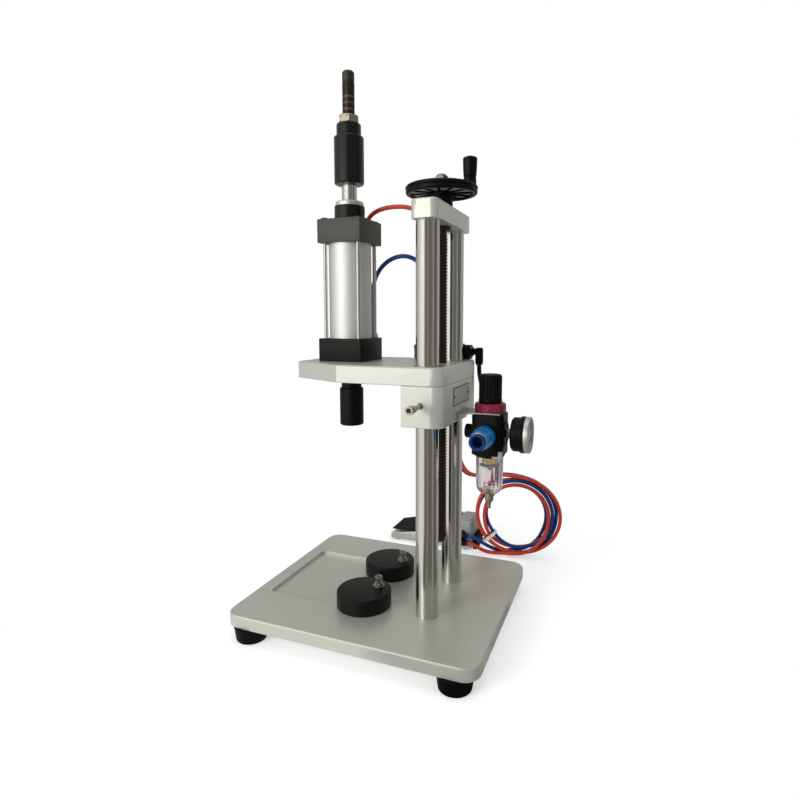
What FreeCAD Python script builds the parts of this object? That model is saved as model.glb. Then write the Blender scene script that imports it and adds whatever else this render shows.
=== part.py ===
import FreeCAD, Part
import Sketcher
import math
import os

# Pneumatic cap press on two columns. Millimetres, +Z up, operator's side at -Y.
# The origin is the middle of the base plate's top face, where the work stands.

V = FreeCAD.Vector
doc = FreeCAD.newDocument("CapPress")

SIZES = {
    "foot_height": 20.0,
    "foot_top_radius": 22.0,
    "foot_low_radius": 19.0,
    "foot_across": 122.0,
    "foot_along": 134.0,
    "base_width": 280.0,
    "base_length": 326.0,
    "base_thick": 15.0,
    "base_corner": 20.0,
    "base_chamfer": 1.5,
    "recess_width": 140.0,
    "recess_front": 143.0,
    "recess_back": 55.0,
    "recess_depth": 4.0,
    "recess_corner": 6.0,
    "column_radius": 14.0,
    "column_inset": 26.0,
    "column_y": 75.0,
    "column_free": 480.0,
    "column_seat": 8.0,
    "column_screw_radius": 4.0,
    "column_screw_head_radius": 7.0,
    "column_screw_head": 5.0,
    "column_screw_reach": 20.0,
    "top_width": 140.0,
    "top_front": 60.0,
    "top_back": 93.0,
    "top_thick": 22.0,
    "top_corner": 8.0,
    "lead_radius": 8.0,
    "lead_free": 404.0,
    "lead_neck_radius": 6.0,
    "collar_radius": 12.0,
    "collar_height": 6.0,
    "pin_head_height": 3.0,
    "hub_radius": 14.0,
    "hub_height": 34.0,
    "wheel_radius": 45.0,
    "wheel_height": 18.0,
    "wheel_rim": 11.0,
    "wheel_web": 6.0,
    "spoke_width": 9.0,
    "dome_radius": 7.5,
    "dome_height": 7.0,
    "handle_offset": 35.0,
    "handle_angle": 100.0,
    "handle_radius": 9.0,
    "handle_height": 23.0,
    "handle_pin_radius": 3.5,
    "handle_pin_head": 5.5,
    "arm_gap": 288.0,
    "arm_thick": 22.0,
    "arm_half": 76.0,
    "arm_back": 102.0,
    "arm_shoulder": -34.0,
    "arm_front": -111.0,
    "arm_nose_half": 40.0,
    "arm_corner": 15.0,
    "block_height": 49.0,
    "block_front": 51.0,
    "bush_radius": 18.0,
    "slide_clearance": 0.05,
    "loose_clearance": 0.3,
    "nut_radius": 13.0,
    "nut_flange_radius": 19.0,
    "nut_flange": 5.0,
    "label_width": 68.0,
    "label_height": 24.0,
    "label_thick": 0.6,
    "label_above": 20.0,
    "clamp_radius": 3.0,
    "clamp_head_radius": 4.6,
    "clamp_head": 12.0,
    "clamp_out": 22.0,
    "clamp_z": 26.0,
    "cylinder_y": -53.0,
    "cap_side": 64.0,
    "cap_height": 30.0,
    "cap_corner": 7.0,
    "tube_length": 124.0,
    "tube_radius": 28.0,
    "bore_radius": 25.0,
    "tie_offset": 24.0,
    "tie_radius": 2.6,
    "tie_nut_radius": 5.5,
    "tie_nut_height": 4.5,
    "rod_radius": 10.0,
    "thread_radius": 8.0,
    "boss_radius": 20.0,
    "boss_height": 19.0,
    "wiper_radius": 18.5,
    "wiper_height": 6.0,
    "stop_gap": 22.0,
    "sleeve_radius": 19.5,
    "sleeve_height": 61.0,
    "sleeve_step_radius": 16.0,
    "sleeve_step": 16.0,
    "lock_nut_radius": 14.0,
    "lock_nut_height": 10.0,
    "thread_free": 56.0,
    "thread_chamfer": 2.5,
    "piston_height": 16.0,
    "head_radius": 16.0,
    "head_height": 51.0,
    "head_neck_radius": 13.5,
    "head_neck": 13.0,
    "head_below": 2.0,
    "head_socket": 22.0,
    "fitting_radius": 5.5,
    "hose_radius": 3.0,
    "route_step": 1.0,
    "coil_lane": 3.2,
    "port_drop": 12.0,
    "upper_port_y": -52.0,
    "upper_port_rise": 6.0,
    "port_mouth": 8.0,
    "lower_port_y": -38.0,
    "port_elbow": 11.0,
    "valve_width": 20.0,
    "valve_height": 21.0,
    "valve_front": 12.0,
    "valve_back": 94.0,
    "valve_overlap": 10.0,
    "valve_cap": 12.0,
    "valve_port_red": 50.0,
    "valve_port_blue": 34.0,
    "valve_fitting": 11.0,
    "elbow_reach": 14.0,
    "elbow_drop": 18.0,
    "regulator_y": 140.0,
    "regulator_side": 40.0,
    "regulator_corner": 9.0,
    "regulator_height": 50.0,
    "bracket_thick": 2.5,
    "bracket_width": 36.0,
    "bracket_drop": 12.0,
    "bracket_above": 10.0,
    "ring_radius": 19.5,
    "ring_height": 11.0,
    "stem_radius": 8.0,
    "knob_radius": 14.5,
    "knob_height": 35.0,
    "bowl_radius": 17.0,
    "bowl_height": 51.0,
    "bowl_wall": 2.2,
    "element_radius": 10.5,
    "element_height": 26.0,
    "drain_radius": 5.5,
    "drain_height": 11.0,
    "drain_tip_radius": 2.6,
    "drain_tip": 9.0,
    "gauge_radius": 21.0,
    "gauge_stem": 8.0,
    "gauge_stem_radius": 4.5,
    "gauge_depth": 19.0,
    "gauge_wall": 2.0,
    "gauge_dial_depth": 4.0,
    "bezel_radius": 22.5,
    "bezel_height": 4.0,
    "bezel_lip": 3.0,
    "needle_length": 14.0,
    "needle_width": 1.6,
    "needle_thick": 0.8,
    "inlet_radius": 12.5,
    "inlet_length": 38.0,
    "inlet_nipple": 9.0,
    "inlet_drop": 24.0,
    "collet_radius": 10.0,
    "collet_length": 6.0,
    "collet_bore": 6.0,
    "outlet_radius": 8.0,
    "outlet_length": 14.0,
    "plug_radius": 9.0,
    "plug_length": 11.0,
    "disc_radius": 35.0,
    "disc_height": 20.0,
    "disc_offset": 20.0,
    "disc_across": 41.0,
    "disc_y": 5.0,
    "disc_near_angle": -46.0,
    "disc_far_angle": -89.0,
    "disc_bolt_radius": 3.0,
    "disc_nut_radius": 6.2,
    "disc_nut_height": 4.0,
    "disc_bolt_stand": 13.0,
    "disc_bolt_head_radius": 5.0,
    "disc_bolt_head": 5.0,
    "disc_bolt_reach": 8.0,
    "pedal_x": -262.0,
    "pedal_width": 70.0,
    "pedal_front": -97.0,
    "pedal_back": 54.0,
    "pedal_foot_height": 4.0,
    "pedal_foot_radius": 6.0,
    "pedal_tray": 6.0,
    "pedal_pad_width": 54.0,
    "pedal_ear": 6.0,
    "pedal_hinge_y": 16.0,
    "pedal_hinge_z": 36.0,
    "pedal_pin_radius": 3.0,
    "pedal_lug_radius": 9.0,
    "pedal_lip_z": 17.5,
    "pedal_lip_thick": 3.0,
    "pedal_nose_z": 37.0,
    "pedal_nose_y": 20.0,
    "pedal_top_z": 47.0,
    "pedal_top_y": 35.0,
    "pedal_pad_gap": 1.0,
    "pedal_pad_thick": 9.0,
    "pedal_valve_length": 27.0,
    "pedal_valve_width": 54.0,
    "pedal_valve_top": 59.0,
    "pedal_cap_length": 8.0,
    "pedal_cap_top": 22.0,
    "pedal_port_z": 16.0,
    "pedal_port_gap": 13.0,
    "pedal_port_y": 32.0,
    "coil_x": -240.0,
    "coil_y": 130.0,
    "coil_radius": 60.0,
    "coil_half_width": 12.0,
    "coil_half_depth": 7.0,
    "coil_turn": 10.0,
    "tie_band": 5.0,
    "tie_band_thick": 1.2,
    "tie_band_angle": 222.0,
}


class Dim:
    """A length with its value and the sheet expression that it comes from."""

    def __init__(self, value, text):
        self.value = value
        self.text = text

    def __add__(self, other):
        other = as_dim(other)
        return Dim(self.value + other.value, "(%s + %s)" % (self.text, other.text))

    def __radd__(self, other):
        return as_dim(other) + self

    def __sub__(self, other):
        other = as_dim(other)
        return Dim(self.value - other.value, "(%s - %s)" % (self.text, other.text))

    def __rsub__(self, other):
        return as_dim(other) - self

    def __mul__(self, factor):
        return Dim(self.value * factor, "(%s * %r)" % (self.text, factor))

    __rmul__ = __mul__

    def __truediv__(self, divisor):
        return Dim(self.value / divisor, "(%s / %r)" % (self.text, divisor))

    def __neg__(self):
        return Dim(-self.value, "(0 - %s)" % self.text)


def as_dim(number):
    return number if isinstance(number, Dim) else Dim(float(number), repr(float(number)))


class Named:
    """The driving sizes by name."""


sheet = doc.addObject("Spreadsheet::Sheet", "Sizes")
s = Named()
for row, (alias, size) in enumerate(SIZES.items(), start=1):
    sheet.set("A%d" % row, alias.replace("_", " "))
    sheet.set("B%d" % row, repr(size))
    sheet.setAlias("B%d" % row, alias)
    setattr(s, alias, Dim(size, "Sizes." + alias))
doc.recompute()

nodes = []
TURN = {
    "z": FreeCAD.Rotation(),
    "x": FreeCAD.Rotation(V(0, 1, 0), 90),
    "y": FreeCAD.Rotation(V(1, 0, 0), -90),
    "-z": FreeCAD.Rotation(V(1, 0, 0), 180),
    "-x": FreeCAD.Rotation(V(0, 1, 0), -90),
    "-y": FreeCAD.Rotation(V(1, 0, 0), 90),
}


def bind(obj, prop, size):
    obj.setExpression(prop, as_dim(size).text)


def place(obj, at, axis="z"):
    """Put an object at a point whose coordinates follow the sheet, its own Z along axis."""
    obj.Placement = FreeCAD.Placement(V(*[as_dim(c).value for c in at]), TURN[axis])
    for letter, coordinate in zip("xyz", at):
        bind(obj, "Placement.Base." + letter, coordinate)
    return obj


def cylinder(name, radius, height, at, axis="z"):
    obj = doc.addObject("Part::Cylinder", name)
    bind(obj, "Radius", radius)
    bind(obj, "Height", height)
    return place(obj, at, axis)


def cone(name, start_radius, end_radius, height, at, axis="z"):
    obj = doc.addObject("Part::Cone", name)
    bind(obj, "Radius1", start_radius)
    bind(obj, "Radius2", end_radius)
    bind(obj, "Height", height)
    return place(obj, at, axis)


def box(name, lengths, at):
    obj = doc.addObject("Part::Box", name)
    for prop, length in zip(("Length", "Width", "Height"), lengths):
        bind(obj, prop, length)
    return place(obj, at)


def hexagon(name, radius, height, at, axis="z"):
    obj = doc.addObject("Part::Prism", name)
    obj.Polygon = 6
    bind(obj, "Circumradius", radius)
    bind(obj, "Height", height)
    return place(obj, at, axis)


def dome(name, radius, at):
    obj = doc.addObject("Part::Sphere", name)
    obj.Angle1 = 0
    bind(obj, "Radius", radius)
    return place(obj, at)


def fuse(name, *parts):
    obj = doc.addObject("Part::MultiFuse", name)
    obj.Shapes = list(parts)
    obj.Refine = True
    return obj


def cut(name, base, *tools):
    obj = doc.addObject("Part::Cut", name)
    obj.Base = base
    obj.Tool = tools[0] if len(tools) == 1 else fuse(name + "Tools", *tools)
    return obj


def group(name, *parts):
    obj = doc.addObject("Part::Compound", name)
    obj.Links = list(parts)
    return obj


def node(label, obj):
    obj.Label = label
    nodes.append(obj)
    return obj


def origin_plane(body, role):
    return [f for f in body.Origin.OriginFeatures if f.Role == role][0]


def polygon_sketch(body, name, role, points):
    """A closed outline of straight sides whose corners follow the sheet."""
    sketch = body.newObject("Sketcher::SketchObject", name)
    sketch.AttachmentSupport = [(origin_plane(body, role), "")]
    sketch.MapMode = "FlatFace"
    corners = [V(as_dim(a).value, as_dim(b).value, 0) for a, b in points]
    count = len(corners)
    for i in range(count):
        sketch.addGeometry(Part.LineSegment(corners[i], corners[(i + 1) % count]), False)
    for i in range(count):
        sketch.addConstraint(Sketcher.Constraint("Coincident", i, 2, (i + 1) % count, 1))
    for i, (a, b) in enumerate(points):
        for kind, size in (("DistanceX", as_dim(a)), ("DistanceY", as_dim(b))):
            place_name = "%s%d" % (kind, i)
            index = sketch.addConstraint(Sketcher.Constraint(kind, -1, 1, i, 1, size.value))
            sketch.renameConstraint(index, place_name)
            bind(sketch, "Constraints." + place_name, size)
    return sketch


def rectangle(left, right, low, high):
    return [(left, low), (right, low), (right, high), (left, high)]


def new_body(name, at=(0, 0, 0)):
    return place(doc.addObject("PartDesign::Body", name), at)


def pad(body, name, sketch, height, reverse=False):
    feature = body.newObject("PartDesign::Pad", name)
    feature.Profile = sketch
    feature.Reversed = reverse
    bind(feature, "Length", height)
    doc.recompute()
    return feature


def turned(body, name, outline):
    """A solid of revolution about the body's own Z axis, from (radius, height) points."""
    sketch = polygon_sketch(body, name + "Outline", "XZ_Plane", outline)
    feature = body.newObject("PartDesign::Revolution", name)
    feature.Profile = sketch
    feature.ReferenceAxis = (sketch, ["V_Axis"])
    feature.Angle = 360
    doc.recompute()
    return feature


def edges_where(shape, test):
    return ["Edge%d" % (i + 1) for i, edge in enumerate(shape.Edges) if test(edge)]


def is_upright(edge):
    a, b = edge.firstVertex().Point, edge.lastVertex().Point
    return abs(a.x - b.x) < 0.01 and abs(a.y - b.y) < 0.01 and abs(a.z - b.z) > 0.01


def plate(name, points, height, at, corner=None, corner_test=None):
    """A plate with an outline in XY, its upright edges rounded where the test says so."""
    body = new_body(name, at)
    tip = pad(body, name + "Pad", polygon_sketch(body, name + "Outline", "XY_Plane", points), height)
    if corner is not None:
        keep = edges_where(tip.Shape, lambda e: is_upright(e) and (corner_test is None or corner_test(e)))
        fillet = body.newObject("PartDesign::Fillet", name + "Corners")
        fillet.Base = (tip, keep)
        bind(fillet, "Radius", corner)
        doc.recompute()
    return body


def chamfer_rim(body, name, height, size):
    """A small chamfer round the edges that lie at one height of the body."""
    tip = body.Tip
    level = as_dim(height).value
    rim = edges_where(tip.Shape, lambda e: all(abs(p.z - level) < 0.01 for p in e.discretize(5)))
    chamfer = body.newObject("PartDesign::Chamfer", name)
    chamfer.Base = (tip, rim)
    bind(chamfer, "Size", size)
    doc.recompute()
    return chamfer


def hose(name, points, radius):
    """A hose along straight runs joined by tangent arcs, with its bend radii printed."""
    stops = [V(*p) for p in points]
    edges, start, radii = [], stops[0], []
    for before, corner, after in zip(stops, stops[1:], stops[2:]):
        into = (corner - before).normalize()
        out = (after - corner).normalize()
        turn = into.getAngle(out)
        shorter = min((corner - before).Length, (after - corner).Length)
        back = 0.45 * shorter
        bend = back / math.tan(turn / 2)
        radii.append(round(bend / (2 * radius), 1))
        arc_start = corner - into * back
        arc_end = corner + out * back
        inward = (out - into).normalize()
        middle = corner + inward * (bend / math.cos(turn / 2) - bend)
        edges.append(Part.LineSegment(start, arc_start).toShape())
        edges.append(Part.Arc(arc_start, middle, arc_end).toShape())
        start = arc_end
    edges.append(Part.LineSegment(start, stops[-1]).toShape())
    path = Part.Wire(edges)
    heading = (stops[1] - stops[0]).normalize()
    section = Part.Wire(Part.Circle(stops[0], heading, radius).toShape())
    solid = path.makePipeShell([section], True, False)
    expected = math.pi * radius ** 2 * path.Length
    print(name, "length", round(path.Length, 1), "bends in diameters", radii,
          "volume ratio", round(solid.Volume / expected, 4))
    assert abs(solid.Volume / expected - 1) < 0.01, name
    obj = doc.addObject("Part::Feature", name)
    obj.Shape = solid
    obj.Placement = FreeCAD.Placement()
    return node(name, obj)


# Places that follow the arm plate's half width
s.column_across = s.arm_half - s.column_inset
s.valve_inner = -(s.arm_half - s.valve_overlap)

# Levels that several pieces share
floor = -(s.base_thick + s.foot_height)
base_low = floor + s.foot_height
base_top = base_low + s.base_thick
top_low = base_top + s.column_free
top_high = top_low + s.top_thick
arm_low = base_top + s.arm_gap
arm_top = arm_low + s.arm_thick
block_low = arm_low - s.block_height
tube_low = arm_top + s.cap_height
tube_high = tube_low + s.tube_length
cap_high = tube_high + s.cap_height
boss_high = cap_high + s.boss_height
wiper_high = boss_high + s.wiper_height
sleeve_low = wiper_high + s.stop_gap
step_low = sleeve_low + s.sleeve_height
step_high = step_low + s.sleeve_step
lock_high = step_high + s.lock_nut_height
rod_end = lock_high + s.thread_free
head_top = arm_low - s.head_below


def build_base():
    half_w = s.base_width / 2
    half_l = s.base_length / 2
    body = plate("BasePlate", rectangle(-half_w, half_w, -half_l, half_l), s.base_thick,
                 (0, 0, base_low), s.base_corner)
    chamfer_rim(body, "BaseRim", s.base_thick, s.base_chamfer)
    half_r = s.recess_width / 2
    recess = plate("Recess", rectangle(-half_r, half_r, -s.recess_front, -s.recess_back),
                   s.recess_depth * 2, (0, 0, base_top - s.recess_depth), s.recess_corner)
    tools = [recess]
    for side, sign in (("Right", 1), ("Left", -1)):
        x = s.column_across * sign
        tools.append(cylinder("SeatBore" + side, s.column_radius, s.column_seat * 2,
                              (x, s.column_y, base_top - s.column_seat)))
        tools.append(cylinder("LowScrewBore" + side, s.column_screw_radius, s.base_thick * 2,
                              (x, s.column_y, base_low - s.base_thick / 2)))
        tools.append(cylinder("LowScrewSink" + side, s.column_screw_head_radius + s.loose_clearance,
                              s.column_screw_head * 2, (x, s.column_y, base_low - s.column_screw_head)))
        tools.append(cylinder("DiscBoltBore" + side, s.disc_bolt_radius, s.disc_bolt_reach * 2,
                              (s.disc_across * sign, s.disc_y, base_top - s.disc_bolt_reach)))
    node("base_plate", cut("BaseCut", body, *tools))
    feet = [cone("Foot%d" % i, s.foot_low_radius, s.foot_top_radius, s.foot_height,
                 (s.foot_across * x_sign, s.foot_along * y_sign, floor))
            for i, (x_sign, y_sign) in enumerate(((1, -1), (-1, -1), (1, 1), (-1, 1)))]
    node("rubber_feet", group("RubberFeet", *feet))


def column_screw(name, x, z, axis):
    shank = cylinder(name + "Shank", s.column_screw_radius, s.column_screw_reach, (x, s.column_y, z), axis)
    head = cylinder(name + "Head", s.column_screw_head_radius, s.column_screw_head, (x, s.column_y, z), axis)
    return fuse(name, shank, head)


def build_columns():
    screws = []
    for label, name, sign in (("column_right", "ColumnRight", 1), ("column_left", "ColumnLeft", -1)):
        x = s.column_across * sign
        length = s.column_free + s.column_seat * 2
        rod = cylinder(name + "Rod", s.column_radius, length, (x, s.column_y, base_top - s.column_seat))
        low_hole = cylinder(name + "LowHole", s.column_screw_radius, s.column_screw_reach,
                            (x, s.column_y, base_low))
        high_hole = cylinder(name + "HighHole", s.column_screw_radius, s.column_screw_reach,
                             (x, s.column_y, top_high - s.column_screw_reach))
        node(label, cut(name, rod, low_hole, high_hole))
        screws.append(column_screw(name + "ScrewLow", x, base_low, "z"))
        screws.append(column_screw(name + "ScrewHigh", x, top_high, "-z"))
    node("column_screws", group("ColumnScrews", *screws))


def build_top():
    half = s.top_width / 2
    body = plate("TopPlate", rectangle(-half, half, s.top_front, s.top_back), s.top_thick,
                 (0, 0, top_low), s.top_corner)
    chamfer_rim(body, "TopRim", s.top_thick, s.base_chamfer)
    tools = [cylinder("TopNeckBore", s.lead_neck_radius + s.slide_clearance, s.top_thick * 2,
                      (0, s.column_y, top_low - s.top_thick / 2))]
    for name, sign in (("Right", 1), ("Left", -1)):
        x = s.column_across * sign
        tools.append(cylinder("TopSeat" + name, s.column_radius, s.column_seat * 2,
                              (x, s.column_y, top_low - s.column_seat)))
        tools.append(cylinder("TopBore" + name, s.column_screw_radius, s.top_thick * 2,
                              (x, s.column_y, top_low)))
        tools.append(cylinder("TopSink" + name, s.column_screw_head_radius + s.loose_clearance,
                              s.column_screw_head * 2, (x, s.column_y, top_high - s.column_screw_head)))
    node("top_plate", cut("TopCut", body, *tools))


def build_lead_screw():
    low = top_low - s.lead_free
    body = new_body("LeadScrew", (0, s.column_y, low))
    shoulder = s.lead_free - s.loose_clearance
    end = s.lead_free + s.top_thick + s.loose_clearance + s.hub_height
    turned(body, "LeadTurned", [
        (0, 0), (s.lead_radius - s.base_chamfer, 0), (s.lead_radius, s.base_chamfer),
        (s.lead_radius, shoulder - s.collar_height), (s.collar_radius, shoulder - s.collar_height),
        (s.collar_radius, shoulder), (s.lead_neck_radius, shoulder), (s.lead_neck_radius, end), (0, end)])
    node("lead_screw", body)


def build_handwheel():
    hub_low = top_high + s.loose_clearance
    wheel_top = hub_low + s.hub_height
    wheel_low = wheel_top - s.wheel_height
    web_low = wheel_top - s.wheel_web - s.wheel_web / 3
    hub = cylinder("WheelHub", s.hub_radius, s.hub_height, (0, s.column_y, hub_low))
    rim = cut("WheelRim", cylinder("WheelRimOut", s.wheel_radius, s.wheel_height, (0, s.column_y, wheel_low)),
              cylinder("WheelRimIn", s.wheel_radius - s.wheel_rim, s.wheel_height * 2,
                       (0, s.column_y, wheel_low - s.wheel_height / 2)))
    web = cylinder("WheelWeb", s.wheel_radius - s.wheel_rim / 2, s.wheel_web, (0, s.column_y, web_low))
    reach = s.wheel_radius - s.wheel_rim / 2
    spokes = [
        box("SpokeAcross", (reach * 2, s.spoke_width, s.wheel_height - s.wheel_web),
            (-reach, s.column_y - s.spoke_width / 2, wheel_low + s.wheel_web / 2)),
        box("SpokeAlong", (s.spoke_width, reach * 2, s.wheel_height - s.wheel_web),
            (-(s.spoke_width / 2), s.column_y - reach, wheel_low + s.wheel_web / 2)),
    ]
    solid = fuse("WheelSolid", hub, rim, web, *spokes)
    turn = math.radians(s.handle_angle.value)
    pin_x = s.handle_offset * math.cos(turn)
    pin_y = s.column_y + s.handle_offset * math.sin(turn)
    bore = cylinder("WheelBore", s.lead_neck_radius, s.hub_height * 2, (0, s.column_y, hub_low - s.hub_height / 2))
    pin_seat = cylinder("PinSeat", s.handle_pin_radius, s.wheel_height, (pin_x, pin_y, wheel_top - s.wheel_web * 2))
    node("handwheel", cut("Handwheel", solid, bore, pin_seat))
    nut = hexagon("DomeHex", s.dome_radius, s.dome_height / 2, (0, s.column_y, wheel_top))
    cap = dome("DomeCap", s.dome_radius * 0.8, (0, s.column_y, wheel_top + s.dome_height / 2 - s.dome_height / 8))
    node("dome_nut", fuse("DomeNut", nut, cap))
    collar = cylinder("PinCollar", s.handle_pin_head, s.loose_clearance * 6, (pin_x, pin_y, wheel_top))
    handle_low = wheel_top + s.loose_clearance * 7
    shaft = cylinder("PinShaft", s.handle_pin_radius, s.wheel_web * 2 + s.handle_height + s.loose_clearance * 8,
                     (pin_x, pin_y, wheel_top - s.wheel_web * 2))
    head = cylinder("PinHead", s.handle_pin_head, s.pin_head_height,
                    (pin_x, pin_y, handle_low + s.handle_height + s.loose_clearance))
    node("handle_pin", fuse("HandlePin", collar, shaft, head))
    grip = new_body("HandleGrip", (pin_x, pin_y, handle_low))
    inner = s.handle_pin_radius + s.slide_clearance * 2
    turned(grip, "HandleTurned", [
        (inner, 0), (s.handle_radius * 0.62, 0), (s.handle_radius * 0.92, s.handle_height * 0.2),
        (s.handle_radius, s.handle_height * 0.5), (s.handle_radius * 0.96, s.handle_height * 0.8),
        (s.handle_radius * 0.7, s.handle_height), (inner, s.handle_height)])
    node("handle_grip", grip)


def build_arm():
    back = s.arm_back
    outline = [(s.arm_half, back), (-s.arm_half, back), (-s.arm_half, s.arm_shoulder),
               (-s.arm_nose_half, s.arm_front), (s.arm_nose_half, s.arm_front), (s.arm_half, s.arm_shoulder)]
    rear = s.column_y.value
    body = plate("ArmPlate", outline, s.arm_thick, (0, 0, arm_low), s.arm_corner,
                 lambda e: e.firstVertex().Point.y > rear)
    chamfer_rim(body, "ArmRim", s.arm_thick, s.base_chamfer)
    block = plate("ClampBlock", rectangle(-s.arm_half, s.arm_half, s.block_front, back), s.block_height,
                  (0, 0, block_low), s.arm_corner, lambda e: e.firstVertex().Point.y > rear)
    arm_tools = [cylinder("RodBore", s.rod_radius + s.loose_clearance * 2, s.arm_thick * 2,
                          (0, s.cylinder_y, arm_low - s.arm_thick / 2)),
                 cylinder("ArmScrewBore", s.lead_radius + s.loose_clearance, s.arm_thick * 2,
                          (0, s.column_y, arm_low - s.arm_thick / 2))]
    block_tools = [cylinder("NutBore", s.nut_radius, s.block_height * 2,
                            (0, s.column_y, block_low - s.block_height / 2)),
                   cylinder("ClampBore", s.clamp_radius + s.loose_clearance, s.arm_half,
                            (s.column_across, s.column_y, block_low + s.clamp_z), "x")]
    for name, sign in (("Right", 1), ("Left", -1)):
        x = s.column_across * sign
        arm_tools.append(cylinder("ArmBore" + name, s.bush_radius, s.arm_thick * 2,
                                  (x, s.column_y, arm_low - s.arm_thick / 2)))
        block_tools.append(cylinder("BlockBore" + name, s.bush_radius, s.block_height * 2,
                                    (x, s.column_y, block_low - s.block_height / 2)))
    node("arm_plate", cut("ArmCut", body, *arm_tools))
    node("clamp_block", cut("BlockCut", block, *block_tools))
    bushes = []
    for name, sign in (("BushRight", 1), ("BushLeft", -1)):
        x = s.column_across * sign
        tube = cylinder(name + "Out", s.bush_radius, s.block_height + s.arm_thick, (x, s.column_y, block_low))
        bore = cylinder(name + "In", s.column_radius + s.slide_clearance, (s.block_height + s.arm_thick) * 2,
                        (x, s.column_y, block_low - s.block_height / 2))
        bushes.append(cut(name, tube, bore))
    node("guide_bushes", group("GuideBushes", *bushes))
    flange = cylinder("NutFlange", s.nut_flange_radius, s.nut_flange, (0, s.column_y, block_low - s.nut_flange))
    barrel = cylinder("NutBarrel", s.nut_radius, s.block_height, (0, s.column_y, block_low))
    bore = cylinder("NutThread", s.lead_radius + s.slide_clearance, s.block_height * 2,
                    (0, s.column_y, block_low - s.block_height / 2))
    node("lead_nut", cut("LeadNut", fuse("NutSolid", flange, barrel), bore))
    node("label_plate", box("LabelPlate", (s.label_width, s.label_thick, s.label_height),
                            (-(s.label_width / 2), s.arm_back, block_low + s.label_above)))
    z = block_low + s.clamp_z
    start = s.column_across + s.bush_radius + s.loose_clearance
    reach = s.arm_half + s.clamp_out - start
    shank = cylinder("ClampShank", s.clamp_radius, reach, (start, s.column_y, z), "x")
    head = cylinder("ClampHead", s.clamp_head_radius, s.clamp_head, (s.arm_half + s.clamp_out, s.column_y, z), "x")
    socket = hexagon("ClampSocket", s.clamp_radius * 0.9, s.clamp_head,
                     (s.arm_half + s.clamp_out + s.clamp_head / 2, s.column_y, z), "x")
    node("clamp_screw", cut("ClampScrew", fuse("ClampSolid", shank, head), socket))


def end_cap(label, name, low):
    half = s.cap_side / 2
    y = s.cylinder_y
    body = plate(name, rectangle(-half, half, y - half, y + half), s.cap_height, (0, 0, low), s.cap_corner)
    tools = [cylinder(name + "Bore", s.rod_radius + s.slide_clearance, s.cap_height * 2,
                      (0, y, low - s.cap_height / 2))]
    for i, (a, b) in enumerate(((1, 1), (1, -1), (-1, 1), (-1, -1))):
        tools.append(cylinder(name + "Tie%d" % i, s.tie_radius, s.cap_height * 2,
                              (s.tie_offset * a, y + s.tie_offset * b, low - s.cap_height / 2)))
    node(label, cut(name + "Cut", body, *tools))


def build_cylinder():
    y = s.cylinder_y
    end_cap("cylinder_cap_low", "CapLow", arm_top)
    end_cap("cylinder_cap_high", "CapHigh", tube_high)
    node("cylinder_tube", cut("Tube", cylinder("TubeOut", s.tube_radius, s.tube_length, (0, y, tube_low)),
                              cylinder("TubeIn", s.bore_radius, s.tube_length * 2,
                                       (0, y, tube_low - s.tube_length / 2))))
    ties = []
    for i, (a, b) in enumerate(((1, 1), (1, -1), (-1, 1), (-1, -1))):
        x = s.tie_offset * a
        tie_y = y + s.tie_offset * b
        shaft = cylinder("TieShaft%d" % i, s.tie_radius, cap_high - arm_top + s.tie_nut_height, (x, tie_y, arm_top))
        nut = hexagon("TieNut%d" % i, s.tie_nut_radius, s.tie_nut_height, (x, tie_y, cap_high))
        ties.append(fuse("Tie%d" % i, shaft, nut))
    node("tie_rods", group("TieRods", *ties))
    node("rod_boss", cut("RodBoss", cylinder("BossOut", s.boss_radius, s.boss_height, (0, y, cap_high)),
                         cylinder("BossIn", s.rod_radius + s.slide_clearance, s.boss_height * 2,
                                  (0, y, cap_high - s.boss_height / 2))))
    node("wiper_ring", cut("WiperRing", cylinder("WiperOut", s.wiper_radius, s.wiper_height, (0, y, boss_high)),
                           cylinder("WiperIn", s.rod_radius + s.slide_clearance, s.wiper_height * 2,
                                    (0, y, boss_high - s.wiper_height / 2))))


def build_ram():
    y = s.cylinder_y
    low = head_top - s.head_socket
    shoulder = step_low + s.thread_chamfer
    piston_high = tube_high - s.loose_clearance * 2
    piston = cylinder("Piston", s.bore_radius - s.slide_clearance, s.piston_height,
                      (0, y, piston_high - s.piston_height))
    body = new_body("PistonRod", (0, y, low))
    turned(body, "RodTurned", [
        (0, 0), (s.rod_radius, 0), (s.rod_radius, shoulder - low), (s.thread_radius, shoulder - low),
        (s.thread_radius, rod_end - s.thread_chamfer - low), (s.thread_radius - s.thread_chamfer, rod_end - low),
        (0, rod_end - low)])
    node("piston_rod", fuse("RodAndPiston", body, piston))
    neck_low = head_top - s.head_neck
    head = new_body("PressHead", (0, y, neck_low - s.head_height))
    total = s.head_height + s.head_neck
    turned(head, "HeadTurned", [
        (0, 0), (s.head_radius - s.base_chamfer, 0), (s.head_radius, s.base_chamfer),
        (s.head_radius, s.head_height), (s.head_neck_radius, s.head_height), (s.head_neck_radius, total),
        (s.rod_radius, total), (s.rod_radius, total - s.head_socket), (0, total - s.head_socket)])
    node("press_head", head)


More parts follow.
